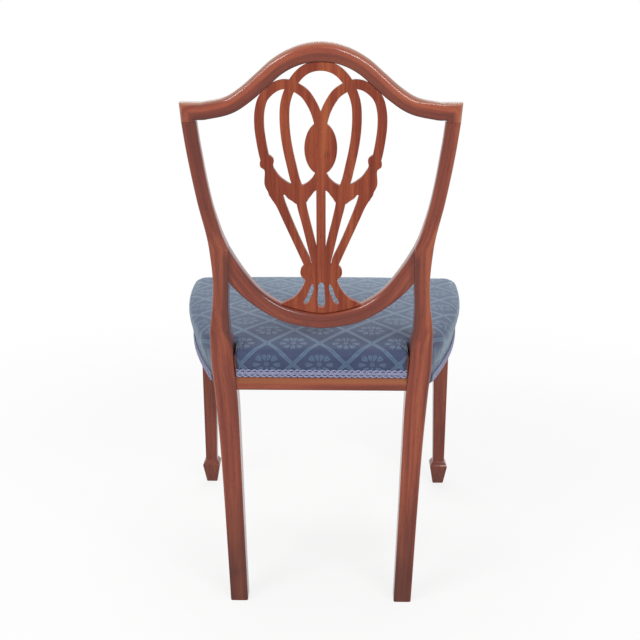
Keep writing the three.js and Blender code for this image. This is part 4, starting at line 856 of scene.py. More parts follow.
def fill(outlines, keep):
    """Triangles of overlapping flat outlines whose list of outlines passes a test."""
    points, faces = [], []
    for outline in outlines:
        turned = sum(a[0] * b[1] - b[0] * a[1] for a, b in zip(outline, outline[1:] + outline[:1])) < 0
        faces.append(list(range(len(points), len(points) + len(outline))))
        points += [Vector(p) for p in (outline[::-1] if turned else outline)]
    spots, _, triangles, _, _, owners = delaunay_2d_cdt(points, [], faces, 0, 1e-4)
    kept = [tuple(t) for t, own in zip(triangles, owners) if keep(own)]
    return [(p.x, p.y) for p in spots], kept


def border(triangles):
    """Loops of points round a set of triangles, which stay on each loop's left."""
    edges = {}
    for t in triangles:
        edges.update({(a, b): True for a, b in zip(t, t[1:] + t[:1])})
    follow = {}
    for a, b in edges:
        if (b, a) not in edges:
            follow.setdefault(a, []).append(b)
    loops = []
    while follow:
        at = start = next(iter(follow))
        loop = []
        while at in follow and not (loop and at == start):
            loop.append(at)
            following = follow[at].pop()
            if not follow[at]:
                del follow[at]
            at = following
        loops.append(loop)
    return loops


def tidy_loop(loop, shortest):
    """Loop without points that lie closer together than the shortest length."""
    out = []
    for p in loop:
        if not out or math.dist(out[-1], p) > shortest:
            out.append(p)
    while len(out) > 3 and math.dist(out[-1], out[0]) < shortest:
        out.pop()
    return out


def inset(loop, by):
    """Loop moved to its left, and the direction in which each point looks outwards."""
    moved, outward = [], []
    count = len(loop)
    for i, p in enumerate(loop):
        a, b = loop[i - 1], loop[(i + 1) % count]
        da, db = (p[0] - a[0], p[1] - a[1]), (b[0] - p[0], b[1] - p[1])
        la, lb = math.hypot(*da), math.hypot(*db)
        na, nb = (-da[1] / la, da[0] / la), (-db[1] / lb, db[0] / lb)
        sx, sz = na[0] + nb[0], na[1] + nb[1]
        size = math.hypot(sx, sz)
        if size < 1e-6:
            sx, sz, size = na[0], na[1], 1.0
        ux, uz = sx / size, sz / size
        reach = by / max(0.55, ux * na[0] + uz * na[1])
        moved.append((p[0] + ux * reach, p[1] + uz * reach))
        outward.append((-ux, -uz))
    return moved, outward


def plate_piece(name, outlines, keep, material, replaced):
    """Plate with rounded arrises from flat outlines, leaned back with the shield."""
    spots, triangles = fill(outlines, keep)
    loops = [tidy_loop([spots[i] for i in loop], SPLAT_SHORTEST_EDGE) for loop in border(triangles)]
    loops = [loop for loop in loops if len(loop) > SPLAT_FEWEST_EDGES]
    insets = [inset(loop, SPLAT_ARRIS) for loop in loops]
    verts, faces, normals, grain = [], [], [], []
    rear_normal = Vector((0, 1, -SPLAT_LEAN)).normalized()

    def put(x, z, deep, normal):
        rear = rear_y(0, BEND_END) + SPLAT_LEAN * (z - BEND_END) - SPLAT_INSET
        verts.append((x, REAR_Y + rear - SPLAT_THICKNESS + deep, z))
        grain.append((x + 300, deep, z))
        normals.extend(normal)
        return len(verts) - 1

    def ring(loop, moved, outward, share, deep, tilt):
        made = []
        for p, q, (ox, oz) in zip(loop, moved, outward):
            normal = (Vector((ox, 0, oz)) * math.cos(tilt) + rear_normal * math.sin(tilt)).normalized()
            made.append(put(mix(q[0], p[0], share), mix(q[1], p[1], share), deep, normal))
        return made

    tilts = [math.pi / 2 * k / SPLAT_ARRIS_STEPS for k in range(SPLAT_ARRIS_STEPS + 1)]
    for loop, (moved, outward) in zip(loops, insets):
        shares = [(tilt, math.cos(tilt), SPLAT_ARRIS * (1 - math.sin(tilt))) for tilt in tilts]
        rings = [ring(loop, moved, outward, share, SPLAT_THICKNESS - sunk, tilt)
                 for tilt, share, sunk in shares[::-1]]
        rings += [ring(loop, moved, outward, share, sunk, -tilt) for tilt, share, sunk in shares]
        count = len(loop)
        for a, b in zip(rings, rings[1:]):
            faces += [(a[i], a[(i + 1) % count], b[(i + 1) % count], b[i]) for i in range(count)]
    flat_spots, flat = fill([moved for moved, _ in insets], lambda own: len(own) % 2 == 1)
    for deep, direction, order in ((SPLAT_THICKNESS, rear_normal, -1), (0.0, -rear_normal, 1)):
        first = len(verts)
        for x, z in flat_spots:
            put(x, z, deep, direction)
        faces += [tuple(first + i for i in t[::order]) for t in flat]
    piece = make_piece(name, verts, faces, material, "splat_mahogany", replaced, grain, sharp=None,
                       recalculate=False)
    mesh = piece.data
    mesh.attributes.new("wanted", 'FLOAT_VECTOR', 'POINT').data.foreach_set("vector", normals)
    bm = bmesh.new()
    bm.from_mesh(mesh)
    bmesh.ops.remove_doubles(bm, verts=bm.verts, dist=0.00001)
    bmesh.ops.dissolve_degenerate(bm, edges=bm.edges, dist=0.000005)
    bm.to_mesh(mesh)
    bm.free()
    wanted = [tuple(v.vector) for v in mesh.attributes["wanted"].data]
    mesh.shade_smooth()
    mesh.normals_split_custom_set_from_vertices(wanted)
    mesh.attributes.remove(mesh.attributes["wanted"])


def pierced_splat():
    planks = splat_planks()

    def keep(owners):
        return bool(owners) and max(owners) < len(planks)

    plate_piece("splat", planks + splat_cuts(), keep,
                mahogany("mahogany_splat", 6.4, 0.12, polish=0.25, roughness=0.42), "pierced_splat")


# Rails in sight and front legs

BACK_FRONT_D = BACK_RAIL_SET_IN + BACK_RAIL_THICKNESS
REBATE_D = BACK_RAIL_SET_IN + BACK_RAIL_REBATE
STRIP_Z = RAIL_BOTTOM + BACK_RAIL_STRIP
SHOULDER_Z = STRIP_Z + BACK_RAIL_CHAMFER


def back_rail():
    """Polished back rail, with rounded arrises, between the posts."""
    rear, low = BACK_RAIL_SET_IN, RAIL_BOTTOM
    profile = [
        (BACK_FRONT_D, low), (rear + 2, low), (rear + 0.6, low + 0.3), (rear + 0.1, low + 1), (rear, low + 2),
        (rear, mix(low, STRIP_Z, 0.5)), (rear, STRIP_Z - 2), (rear + 0.25, STRIP_Z - 0.4),
        (rear + 1, STRIP_Z + 1), (mix(rear, REBATE_D, 0.6), mix(STRIP_Z, SHOULDER_Z, 0.6)),
        (REBATE_D, SHOULDER_Z), (REBATE_D, RAIL_TOP), (BACK_FRONT_D, RAIL_TOP)]
    # Painted shade on the rebate face above the shoulder beside the cover and along the bottom arris; the
    # chamfer that faces up is a paler orange, partly painted light and partly wood that is less faded there
    tone = [0.9 if z > SHOULDER_Z else 0.1 if z == SHOULDER_Z else
            clamp(1 - (z - low) / 3.0) - ease((z - STRIP_Z + 3) / 5) for _, z in profile]
    rings = [[(share * (post_inner_x(z) - CLEARANCE), REAR_Y - d, z) for d, z in profile]
             for share in steps(-1, 1, 40)]
    grains = [[(z + 90, d, x + 700) for (x, _, z), (d, _) in zip(ring, profile)] for ring in rings]
    material = mahogany("mahogany_back_rail", 2.2, 0.15, edge_dark=0.7, worn_colour=(0.3, 0.095, 0.022))
    loft_piece("back_rail", rings, grains, material, "mahogany", "back_seat_rail", [tone] * len(rings), 50)


def front_leg(side, hand):
    """Square leg, tapered on its inner faces, on a spade foot that is centred on the ankle."""
    spade = [(0, SPADE_FOOT - 1.6), (0.5, SPADE_FOOT - 0.5), (1.3, SPADE_FOOT + 0.4)]
    spade += [(SPADE_HEIGHT * s, mix(SPADE_FOOT, SPADE_WIDTH, s / 0.8)) for s in (0.1, 0.3, 0.5, 0.7, 0.78)]
    spade += [(SPADE_HEIGHT * s, width) for s, width in (
        (0.81, SPADE_WIDTH - 0.2), (0.84, SPADE_WIDTH - 1.2), (0.9, SPADE_WIDTH - 4.0),
        (0.97, LEG_ANKLE + 3.2), (1, LEG_ANKLE + 1.2))]
    shaft = [(SPADE_HEIGHT + 1.2, LEG_ANKLE + 0.2)]
    shaft += [(mix(SPADE_HEIGHT + 3, RAIL_BOTTOM - 2, s), mix(LEG_ANKLE, LEG_TOP, s))
              for s in (0, 0.1, 0.25, 0.4, 0.55, 0.7, 0.85, 1.0)]
    levels = [(z, width, LEG_ANKLE, ARRIS) for z, width in spade]
    levels += [(z, width, width, ARRIS) for z, width in shaft]
    levels += [(z, LEG_TOP, LEG_TOP, CORNER_RADIUS) for z in (RAIL_BOTTOM, RAIL_TOP)]
    turns, shift = 6, 30 if side > 0 else 77
    rings, grains, tones = [], [], []
    for z, width, centred_on, radius in levels:
        x, d = FRONT_OUTER - centred_on / 2, SEAT_DEPTH - centred_on / 2
        ring = []
        for quarter, (sx, sd) in enumerate([(1, 1), (-1, 1), (-1, -1), (1, -1)]):
            r = radius if quarter == 0 else ARRIS
            for step in range(turns + 1):
                angle = (quarter + step / turns) * math.pi / 2
                ring.append((side * (x + sx * (width / 2 - r) + r * math.cos(angle)),
                             REAR_Y - (d + sd * (width / 2 - r) + r * math.sin(angle)), z))
        rings.append(ring)
        grains.append([(px + shift, py, z + 9 * shift) for px, py, z in ring])
        tones.append([clamp(1 - z / 70) * 0.5] * len(ring))
    loft_piece(f"{hand}_leg", rings, grains, mahogany(f"mahogany_{hand}_leg", 4.0 + side, -0.05, edge_dark=0.7),
               "mahogany", f"{hand}_front_leg", tones, 30)


# Seat outline over the rails' outer faces, notched for the posts

FRONT_LEG_REAR = SEAT_DEPTH - LEG_TOP
SIDE_BEZIER = [(KNEE_OUTER, KNEE_DEPTH), (KNEE_OUTER + 0.36 * 112, KNEE_DEPTH + 112),
               (FRONT_OUTER, FRONT_LEG_REAR - 142), (FRONT_OUTER, FRONT_LEG_REAR)]


def side_points():
    """(d, x) pairs along the outer face of the left side rail."""
    pairs = []
    for t in steps(0, 1, 24):
        weights = ((1 - t) ** 3, 3 * t * (1 - t) ** 2, 3 * t * t * (1 - t), t ** 3)
        x, d = (sum(w * p[axis] for w, p in zip(weights, SIDE_BEZIER)) for axis in (0, 1))
        pairs.append((d, x))
    return pairs


SIDE_PAIRS = side_points()
FRONT_BOW = 6.0
NOTCH_X = post_inner_x(SHOULDER_Z) - COVER_THICKNESS - 2 * CLEARANCE
NOTCH_D = KNEE_DEPTH + COVER_THICKNESS + 2 * CLEARANCE
NOTCH_SOFT = 4.0
SIDE_START_D = NOTCH_D + 0.3
WEB_REST_Z = RAIL_TOP + CLEARANCE + WEB_THICKNESS / 2
WEAVE_LIFT = (WEB_THICKNESS + CLEARANCE) / 2
WEAVE_Z = WEB_REST_Z + WEAVE_LIFT + CLEARANCE
WEAVE_TOP_Z = WEAVE_Z + WEAVE_LIFT + WEB_THICKNESS / 2
STUFFING_Z = WEAVE_TOP_Z + HESSIAN_THICKNESS + 2 * CLEARANCE
# Low edges of the cover: at the sides, in the notches, in front of the back rail there, and behind
SIDE_COVER_Z = RAIL_BOTTOM + SIDE_COVER_LIFT
NOTCH_COVER_Z = RAIL_TOP + 0.4
FLAP_X, FLAP_Z = NOTCH_X + 10, RAIL_TOP - 11
BACK_COVER_Z = SHOULDER_Z + CLEARANCE
BULGE_Z = RAIL_TOP + BULGE_RISE
EDGE_Z = BULGE_Z + SEAT_ROLL
SEAT_MIDDLE_D = (REBATE_D + SEAT_DEPTH) / 2


def side_outer_x(d):
    """Outer face of the left side rail."""
    return along(SIDE_PAIRS, d)


def front_outer_d(x):
    """Outer face of the front rail, which bows forwards between the legs."""
    return SEAT_DEPTH + FRONT_BOW * (1 - (x / (FRONT_OUTER - LEG_TOP)) ** 2)


def half_outline(spacing):
    """Points (x, d, bulge, low edge) of the seat's left half, from the back's middle to the front's."""
    straight = NOTCH_X - NOTCH_SOFT
    count = round(straight / spacing)
    points = [(straight * i / count, REBATE_D,
               mix(0.55, 0.3, ease((straight * i / count / NOTCH_X - 0.8) / 0.2)), BACK_COVER_Z)
              for i in range(count)]
    for angle in (0, 22, 45, 68, 90):
        a = math.radians(angle)
        points.append((straight + NOTCH_SOFT * math.sin(a), REBATE_D + NOTCH_SOFT - NOTCH_SOFT * math.cos(a),
                       0.3 * (1 - angle / 90), BACK_COVER_Z if angle < 80 else NOTCH_COVER_Z))
    # In front of the back rail the cloth hangs lower, between the post and the corner block
    free_d = BACK_FRONT_D + 0.5
    points += [(NOTCH_X, mix(REBATE_D + NOTCH_SOFT, free_d, s), 0.0, NOTCH_COVER_Z) for s in (0.33, 0.66, 1.0)]
    points += [(NOTCH_X, mix(free_d + 0.5, NOTCH_D - 3, s), 0.0, FLAP_Z) for s in (0.0, 0.5, 1.0)]
    points += [(NOTCH_X + 0.9, NOTCH_D - 0.9, 0.0, FLAP_Z), (NOTCH_X + 3, NOTCH_D, 0.0, FLAP_Z)]
    reach = side_outer_x(NOTCH_D)
    for share in np.linspace(0.1, 1.0, 10):
        x = mix(NOTCH_X + 3, reach - 0.8, share)
        points.append((x, NOTCH_D, 0.0, FLAP_Z if x < FLAP_X else NOTCH_COVER_Z))
    side_end = SEAT_DEPTH - CORNER_RADIUS
    points.append((side_outer_x(SIDE_START_D) - 0.4, SIDE_START_D - 0.9, 0.0, SIDE_COVER_Z))
    for d in steps(SIDE_START_D, side_end, round((side_end - SIDE_START_D) / spacing)):
        x = FRONT_OUTER if d > FRONT_LEG_REAR else side_outer_x(d)
        points.append((x, d, ease(0.25 + (d - SIDE_START_D) / 60), SIDE_COVER_Z))
    cx, cd = FRONT_OUTER - CORNER_RADIUS, SEAT_DEPTH - CORNER_RADIUS
    for angle in np.linspace(0, 90, 10)[1:-1]:
        a = math.radians(angle)
        points.append((cx + CORNER_RADIUS * math.cos(a), cd + CORNER_RADIUS * math.sin(a), 1.0, SIDE_COVER_Z))
    leg_x = FRONT_OUTER - LEG_TOP
    points += [(mix(cx, leg_x, s), SEAT_DEPTH, 1.0, SIDE_COVER_Z) for s in (0.0, 0.5)]
    for x in steps(leg_x, 0, round(leg_x / spacing)):
        points.append((x, front_outer_d(x), 1.0, SIDE_COVER_Z))
    return points


Edge = namedtuple("Edge", "x d bulge low nx nd")


def outward(p, by):
    return p.x + p.nx * by, p.d + p.nd * by


def seat_outline(spacing):
    """Whole outline with the direction in which each point looks outwards."""
    half = half_outline(spacing)
    whole = half + [(-x, d, bulge, low) for x, d, bulge, low in half[1:-1][::-1]]
    out = []
    count = len(whole)
    for i, (x, d, bulge, low) in enumerate(whole):
        a, b = whole[i - 1], whole[(i + 1) % count]
        before = np.array([d - a[1], a[0] - x])
        after = np.array([b[1] - d, x - b[0]])
        both = before / np.linalg.norm(before) + after / np.linalg.norm(after)
        both = both / np.linalg.norm(both)
        out.append(Edge(x, d, bulge, low, *both))
    return out


def back_drop(d):
    """Fall of the padding's top towards the back edge."""
    return BACK_DROP * (1 - smooth(np.clip((d - REBATE_D) / BACK_DROP_REACH, 0, 1)))


def drop_back(points):
    """Press the top down towards the back edge, and nothing below the rails' tops."""
    share = np.clip((points[..., 2] - RAIL_TOP + 10) / (EDGE_Z - RAIL_TOP + 8), 0, 1)
    points[..., 2] -= back_drop(points[..., 1]) * smooth(share)


def seat_rows(outline, inset_by, low_of, side_rows, top_rows):
    """Rows of (x, d, z) from the low edge over the roll to near the middle, and the rim's row."""
    base = COVER_THICKNESS + CLEARANCE - inset_by
    columns = []
    for p in outline:
        low = low_of(p)
        full = p.bulge * COVER_BULGE
        knots = [(base, low), (base + 0.05 * full, mix(low, BULGE_Z, 0.38)),
                 (base + 0.62 * full, mix(low, BULGE_Z, 0.7)), (base + full, BULGE_Z),
                 (base + 0.74 * full, BULGE_Z + (SEAT_ROLL - inset_by) * 0.6),
                 (base - SEAT_ROLL * 0.1, EDGE_Z - inset_by - SEAT_ROLL * 0.08),
                 (base - SEAT_ROLL * 0.55, EDGE_Z - inset_by + SEAT_CROWN * 0.17),
                 (base - SEAT_ROLL * 1.5, EDGE_Z - inset_by + SEAT_CROWN * 0.36)]
        path = curve(knots, 84)[:73]
        path = resample(path, sum(math.dist(a, b) for a, b in zip(path, path[1:])) / side_rows)
        columns.append([(*outward(p, out), z) for out, z in path[:side_rows + 1]])
    grid = np.array(columns).transpose(1, 0, 2)
    drop_back(grid)
    rim = grid[-1]
    top_z = EDGE_Z - inset_by + SEAT_CROWN
    middle = np.array([0.0, SEAT_MIDDLE_D, top_z])
    flat_rim_z = rim[:, 2] + back_drop(rim[:, 1])
    rows = [rim]
    for k in range(1, top_rows + 1):
        share = 1 - 0.965 * k / top_rows
        row = middle + (rim - middle) * share
        row[:, 2] = mix(flat_rim_z, top_z, 1 - share ** 2)
        drop_back(row)
        rows.append(row)
    top = np.array(rows)
    for _ in range(TOP_SMOOTHINGS):
        side_mean = (np.roll(top, 1, axis=1) + np.roll(top, -1, axis=1)) / 2
        mean = (top[:-2] + top[2:]) / 2 * 0.5 + side_mean[1:-1] * 0.5
        top[1:-1] = mix(top[1:-1], mean, 0.6)
        top[-1, :, 2] = top[-2, :, 2].mean()
    return np.concatenate([grid, top[1:]]), len(grid) - 1


def cloth_places(grid, rim_row, outline):
    """Flat cloth coordinates: the plan on top, carried on down the sides by the cloth's own length."""
    flat = np.zeros_like(grid)
    flat[rim_row:, :, :2] = grid[rim_row:, :, :2]
    out = np.array([(p.nx, p.nd) for p in outline])
    run = np.zeros(len(outline))
    for row in range(rim_row - 1, -1, -1):
        run = run + np.linalg.norm(grid[row] - grid[row + 1], axis=1)
        flat[row, :, :2] = grid[rim_row, :, :2] + out * run[:, None]
    return flat


def fold_noise(x, z, seed):
    """Smooth wave field of a few fixed sines, between about -1 and 1."""
    return (math.sin(0.043 * x + 1.3 * seed) * math.cos(0.021 * z + 0.7 * seed)
            + 0.6 * math.sin(0.11 * x - 0.05 * z + 2.1 * seed)
            + 0.35 * math.sin(0.27 * x + 0.09 * z + 0.4 * seed)) / 1.6


def placed(rows):
    return [[(x, REAR_Y - d, z) for x, d, z in row] for row in rows]


def seat_cover():
    outline = seat_outline(COVER_SPACING)
    grid, rim_row = seat_rows(outline, 0.0, lambda p: p.low, 44, 26)
    flat = cloth_places(grid, rim_row, outline)
    lengths = np.cumsum([0] + [math.dist(a[:2], b[:2]) for a, b in zip(outline, outline[1:])])
    # Soft vertical gathers above the tacked edge, which fade out over the roll
    for row in range(rim_row + 1):
        share = row / rim_row
        swell = math.sin(math.pi * clamp(share * 1.25)) ** 1.2 * (1 - 0.5 * share)
        for i, p in enumerate(outline):
            if p.low <= BULGE_Z - 3:
                depth = 1.1 * swell * fold_noise(lengths[i] * 1.6, share * 60, 1.0)
                grid[row, i, :2] += np.array([p.nx, p.nd]) * depth
    step_col = (np.roll(grid, -1, axis=1) - np.roll(grid, 1, axis=1)) / 2
    normals = np.cross(np.gradient(grid, axis=0), step_col)
    normals /= np.maximum(1e-9, np.linalg.norm(normals, axis=2))[:, :, None]
    if normals[-3, 0, 2] < 0:
        normals = -normals
    inner = grid - normals * (COVER_THICKNESS * 0.7)
    rows = placed(np.concatenate([inner[::-1], grid]).tolist())
    grains = np.concatenate([flat[::-1], flat]).tolist()
    return loft_piece("cover", rows, grains, damask("damask"), "damask", "seat_cover", sharp=None)


def seat_stuffing():
    outline = seat_outline(PADDING_SPACING)
    grid, rim_row = seat_rows(outline, COVER_THICKNESS + STUFFING_SLACK, lambda p: STUFFING_Z, 12, 12)
    start = next(r for r in range(rim_row) if grid[r, 0, 2] >= STUFFING_Z + 1)
    base = [[(*outward(p, p.bulge * COVER_BULGE * full - COVER_THICKNESS * thick), STUFFING_Z) for p in outline]
            for full, thick in ((0.5, 2.5), (0.8, 1.0))]
    middle = np.array([0.0, SEAT_MIDDLE_D, STUFFING_Z])
    first = (middle + (np.array(base[0]) - middle) * 0.05).tolist()
    rows = placed([first] + base + grid[start:].tolist())
    return loft_piece("stuffing", rows, None, wadding_material(), "stuffing", "seat_stuffing", sharp=60)


# Under the seat

def web_x(i):
    return (i - (WEB_COUNT - 1) / 2) * post_inner_x(RAIL_TOP) / 2


def cross_d(j):
    return mix(KNEE_DEPTH, FRONT_LEG_REAR, (j + 1) / (CROSS_COUNT + 1))


def crossing(place, over):
    z = WEAVE_Z + (WEAVE_LIFT if over else -WEAVE_LIFT)
    half = WEB_WIDTH / 2 + CLEARANCE
    return [(place - half, z), (place + half, z)]


def web_strip(name, heights, put, material, node, seed):
    """Woven strip along (place, height) pairs, its ends turned over and tacked down."""
    path = resample(heights, 6.0)
    fold = WEB_THICKNESS * 0.55
    ends = []
    for (s0, z0), direction in ((path[0], 1), (path[-1], -1)):
        ends.append([(s0 + direction * WEB_TURNED * t, z0 + 2 * fold) for t in (1.0, 0.6, 0.2)]
                    + [(s0 - direction * fold * math.sin(a), z0 + fold + fold * math.cos(a))
                       for a in (0.6, 1.3, 2.0, 2.7)])
    path = ends[0] + path + ends[1][::-1]
    half = [(-1.0, -0.5), (-0.985, -1.0), (-0.93, -1.1), (-0.9, -0.8), (-0.5, -0.8), (0, -0.8)]
    across = half + flip(half, -1)[::-1][1:]
    across += [(a, -b) for a, b in across[::-1]]
    rings, grains, run = [], [], 0.0
    for k, (s, z) in enumerate(path):
        a, b = path[max(0, k - 1)], path[min(len(path) - 1, k + 1)]
        size = math.dist(a, b)
        ns, nz = -(b[1] - a[1]) / size, (b[0] - a[0]) / size
        run += math.dist(path[max(0, k - 1)], path[k])
        lifts = [(wide * WEB_WIDTH / 2, up * WEB_THICKNESS / 2 * 0.9) for wide, up in across]
        rings.append([put(s + ns * lift, wide, z + nz * lift) for wide, lift in lifts])
        grains.append([(wide, run + seed, 0.0) for wide, _ in lifts])
    piece = loft_piece(name, rings, grains, material, "webbing", node, sharp=None)


def webbing():
    material = woven("jute_webbing", (0.2, 0.13, 0.06), (0.5, 0.38, 0.22), 1.7,
                     stripe=(18.0, 1.6, (0.14, 0.05, 0.03)))
    for i in range(WEB_COUNT):
        x = web_x(i)
        crossings = [p for j in range(CROSS_COUNT) for p in crossing(cross_d(j), (i + j) % 2)]
        ends = (REBATE_D + WEB_SET_IN, BACK_FRONT_D, front_outer_d(x) - RAIL_THICKNESS,
                front_outer_d(abs(x) + WEB_WIDTH / 2) - WEB_SET_IN)
        ends = [(d, WEB_REST_Z) for d in ends]
        web_strip(f"web_{i + 1}", ends[:2] + crossings + ends[2:], lambda s, a, z, x=x: (x + a, REAR_Y - s, z),
                  material, f"webbing_strip_{i + 1}", 131.0 * i)
    for j in range(CROSS_COUNT):
        d = cross_d(j)
        edge = d - WEB_WIDTH / 2
        slope = (side_outer_x(edge + 2) - side_outer_x(edge - 2)) / 4
        reach = side_outer_x(edge) - WEB_SET_IN
        inner = side_outer_x(edge) - RAIL_THICKNESS * math.hypot(1, slope)
        crossings = [p for i in range(WEB_COUNT) for p in crossing(web_x(i), (i + j + 1) % 2)]
        ends = [(x, WEB_REST_Z) for x in (-reach, -inner, inner, reach)]
        web_strip(f"cross_web_{j + 1}", ends[:2] + crossings + ends[2:],
                  lambda s, a, z, d=d: (s, REAR_Y - (d + a), z), material, f"webbing_cross_strip_{j + 1}",
                  67.0 * j + 900)


def hessian():
    low = WEAVE_TOP_Z + CLEARANCE
    edge = [outward(p, -HESSIAN_SET_IN) for p in seat_outline(PADDING_SPACING)]
    shares = np.linspace(0.04, 1.0, 18)
    rows = [[(x * share, mix(SEAT_MIDDLE_D, d, share), z) for x, d in edge]
            for z, order in ((low, shares), (low + HESSIAN_THICKNESS, shares[::-1])) for share in order]
    grains = [[(x, d, 0.0) for x, d, _ in row] for row in rows]
    material = woven("jute_hessian", (0.17, 0.11, 0.05), (0.46, 0.34, 0.19), 1.5)
    piece = loft_piece("hessian", placed(rows), grains, material, "hessian", "hessian_panel", sharp=60)
    xs, ds = zip(*edge)
    (max(xs) - min(xs)) * MM
    (max(ds) - min(ds)) * MM


# Gimp

def tube(path, radius, sides=6):
    """Rings of a cord of even radius along a path in millimetres."""
    pts = np.array(path)
    tangents = np.gradient(pts, axis=0)
    tangents /= np.linalg.norm(tangents, axis=1)[:, None]
    up = np.array([0.0, 0.0, 1.0])
    rings = []
    for p, t in zip(pts, tangents):
        u = np.cross(t, up)
        size = np.linalg.norm(u)
        u = u / size if size > 1e-3 else np.array([1.0, 0.0, 0.0])
        v = np.cross(u, t)
        rings.append([tuple(p + radius * (math.cos(a) * u + math.sin(a) * v))
                      for a in (2 * math.pi * k / sides for k in range(sides))])
    return rings


def gimp(name, base, low, node, material):
    """Braid along a base line of (x, d, nx, nd) points: a plait between two rows of loops."""
    pts = np.array(base, dtype=float)
    gaps = np.linalg.norm(np.diff(pts[:, :2], axis=0), axis=1)
    runs = np.concatenate([[0], np.cumsum(gaps)])
    total = runs[-1]
    pitches = round(total / GIMP_PITCH)
    pitch = total / pitches
    middle = low + GIMP_HEIGHT / 2
    out_middle = COVER_THICKNESS + 2 * CLEARANCE + GIMP_THICKNESS / 2

    def place(run, out, z):
        run = min(total, max(0.0, run))
        x, d, nx, nd = (np.interp(run, runs, pts[:, k]) for k in range(4))
        return x + nx * (out_middle + out), REAR_Y - (d + nd * (out_middle + out)), z

    def loop(t, sign, lag):
        turn = 2 * math.pi * (t + (0.0 if sign > 0 else 0.5) + lag)
        return (t * pitch + LOOP_REACH * math.sin(turn), 0.35 * math.sin(turn + 0.9),
                middle + sign * (3.2 + (2.9 - lag * 5) * math.cos(turn)))

    def plait(t, phase):
        turn = 2 * math.pi * (t + phase)
        return t * pitch, 0.5 * math.sin(2 * turn) + 0.25, middle + 1.9 * math.sin(turn)

    # Two cords in each row of loops, and the three of the plait: path, its terms, radius, points a pitch
    cords = [(loop, (sign, lag), radius, 18) for sign in (1, -1) for lag, radius in ((0.0, 1.05), (0.16, 0.75))]
    cords += [(plait, (phase,), 1.0, 10) for phase in (0.0, 1 / 3, 2 / 3)]
    verts, faces, grain = [], [], []
    for number, (path_of, terms, radius, samples) in enumerate(cords):
        path = [place(*path_of(k / samples, *terms)) for k in range(pitches * samples + 1)]
        path = [p for i, p in enumerate(path) if i == 0 or math.dist(p, path[i - 1]) > 0.02]
        rings = tube(path, radius)
        cord_verts, cord_faces = loft(rings)
        faces += [tuple(len(verts) + i for i in face) for face in cord_faces]
        verts += cord_verts
        run = 0.0
        for k, ring in enumerate(rings):
            run += math.dist(path[k], path[max(0, k - 1)])
            grain += [(2 * math.pi * i / len(ring), 10.0 * number, run) for i in range(len(ring))]
    make_piece(name, verts, faces, material, "gimp", node, grain, sharp=None)


def gimps():
    material = braid_material()
    base = [(x, REBATE_D, 0.0, -1.0) for x in steps(-NOTCH_X - 1.0, NOTCH_X + 1.0, 60)]
    gimp("back_braid", base, BACK_COVER_Z, "back_gimp", material)
    base = [(p.x, p.d, p.nx, p.nd) for p in seat_outline(COVER_SPACING)
            if p.low == SIDE_COVER_Z and p.d > SIDE_START_D - 0.1]
    gimp("side_braid", base, SIDE_COVER_Z, "side_gimp", material)


# CAD nodes that stay as they are, but for their looks: beech rails, blocks and screws

def dress_nodes():
    beech = {axis: wood(f"beech_{axis}", *BEECH, along_axis=number, seed=number + 0.5, polish=0.0,
                        roughness=0.62) for number, axis in enumerate("xyz")}
    steel = steel_material()
    for name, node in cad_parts.items():
        if "block_screw" in name:
            finish = steel
        elif name == "front_seat_rail" or "corner_block" in name:
            finish = beech["x"]
        elif name.endswith("side_rail"):
            finish = beech["y"]
        else:
            continue
        node.data.materials.clear()
        node.data.materials.append(finish)
        weld = node.modifiers.new("weld", 'WELD')
        weld.merge_threshold = 0.00001
        bevel = node.modifiers.new("arris", 'BEVEL')
        bevel.width = 0.0004 if "screw" in name else 0.0008
        bevel.segments = 2
        bevel.limit_method = 'ANGLE'
        bevel.angle_limit = math.radians(40)


# Stage

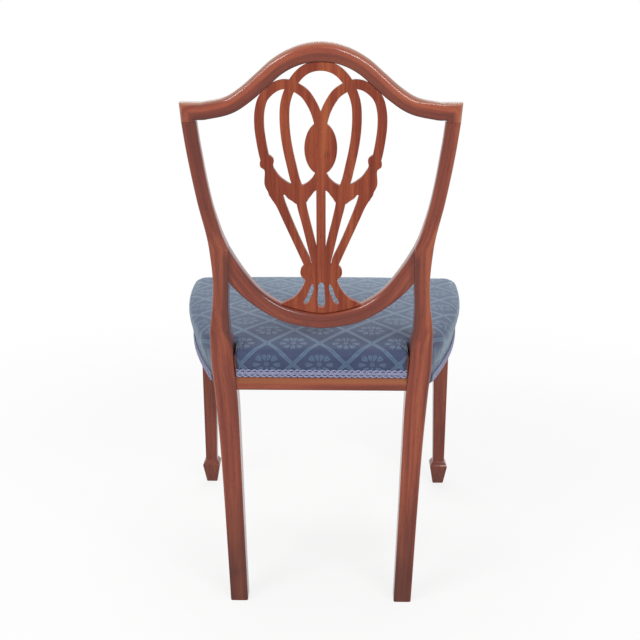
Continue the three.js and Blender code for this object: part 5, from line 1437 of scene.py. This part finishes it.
def floor_material():
    """White floor with soft shadows near the chair, which lights the chair as grey."""
    n = Nodes("floor")
    white, grey = (n.add("BsdfDiffuse", Color=(v, v, v, 1)) for v in (0.95, 0.6))
    glow = n.add("Emission", Color=(1, 1, 1, 1), Strength=1.0)
    reach = n.add("VectorMath", {"operation": 'LENGTH'}, "Value", i0=n.add("NewGeometry"))
    shown = n.add("MixShader", i0=n.band(reach, 0.6, 1.7, 0.8, 1.0), i1=white, i2=glow)
    return n.finish(n.add("MixShader", i0=n.in_sight(), i1=grey, i2=shown))


def stage():
    half, thick = 4.0, 0.01
    corners = [(x, y, z) for z in (-thick, 0.0)
               for x, y in ((-half, -half), (half, -half), (half, half), (-half, half))]
    mesh = bpy.data.meshes.new("floor")
    mesh.from_pydata(corners, [], [(4, 5, 6, 7), (3, 2, 1, 0)]
                     + [(i, (i + 1) % 4, (i + 1) % 4 + 4, i + 4) for i in range(4)])
    mesh.materials.append(floor_material())
    new_object("floor", mesh)

    n = Nodes("studio", "World")
    lit, seen = (n.add("Background", Color=(1, 1, 1, 1), Strength=v) for v in (0.45, 1.0))
    bpy.context.scene.world = n.finish(n.add("MixShader", i0=n.in_sight(), i1=lit, i2=seen))

    for name, place, aim, size, watts in (
            ("key", (-1.5, 2.5, 1.75), (0, 0, 0.6), (1.9, 0.35), 41.0),
            ("fill", (1.9, 1.7, 2.2), (0, 0, 0.5), (1.4, 0.35), 30.0),
            ("front", (0.2, -1.7, 2.8), (0, 0, 0.4), (2.2, 0.6), 22.0)):
        lamp = bpy.data.lights.new(name, 'AREA')
        lamp.shape = 'RECTANGLE'
        lamp.size, lamp.size_y = size
        lamp.energy = watts
        light = new_object(name, lamp)
        light.location = place
        light.rotation_euler = (Vector(aim) - Vector(place)).to_track_quat('-Z', 'Y').to_euler()


def camera():
    data = bpy.data.cameras.new("camera")
    data.sensor_width = 36.0
    data.lens = CAMERA_LENS
    eye = new_object("camera", data)
    eye.location = CAMERA_PLACE
    eye.rotation_euler = (math.pi / 2 - CAMERA_DOWN, 0.0, math.pi + CAMERA_TURN)
    bpy.context.scene.camera = eye


camera()
stage()
crest_rail()
for side, hand in ((1, "left"), (-1, "right")):
    back_post(side, hand)
    front_leg(side, hand)
shield_lower_rail()
pierced_splat()
back_rail()
pad = seat_stuffing()
cover = seat_cover()
gimps()
webbing()
hessian()
dress_nodes()

bpy.context.scene.view_settings.view_transform = 'Standard'
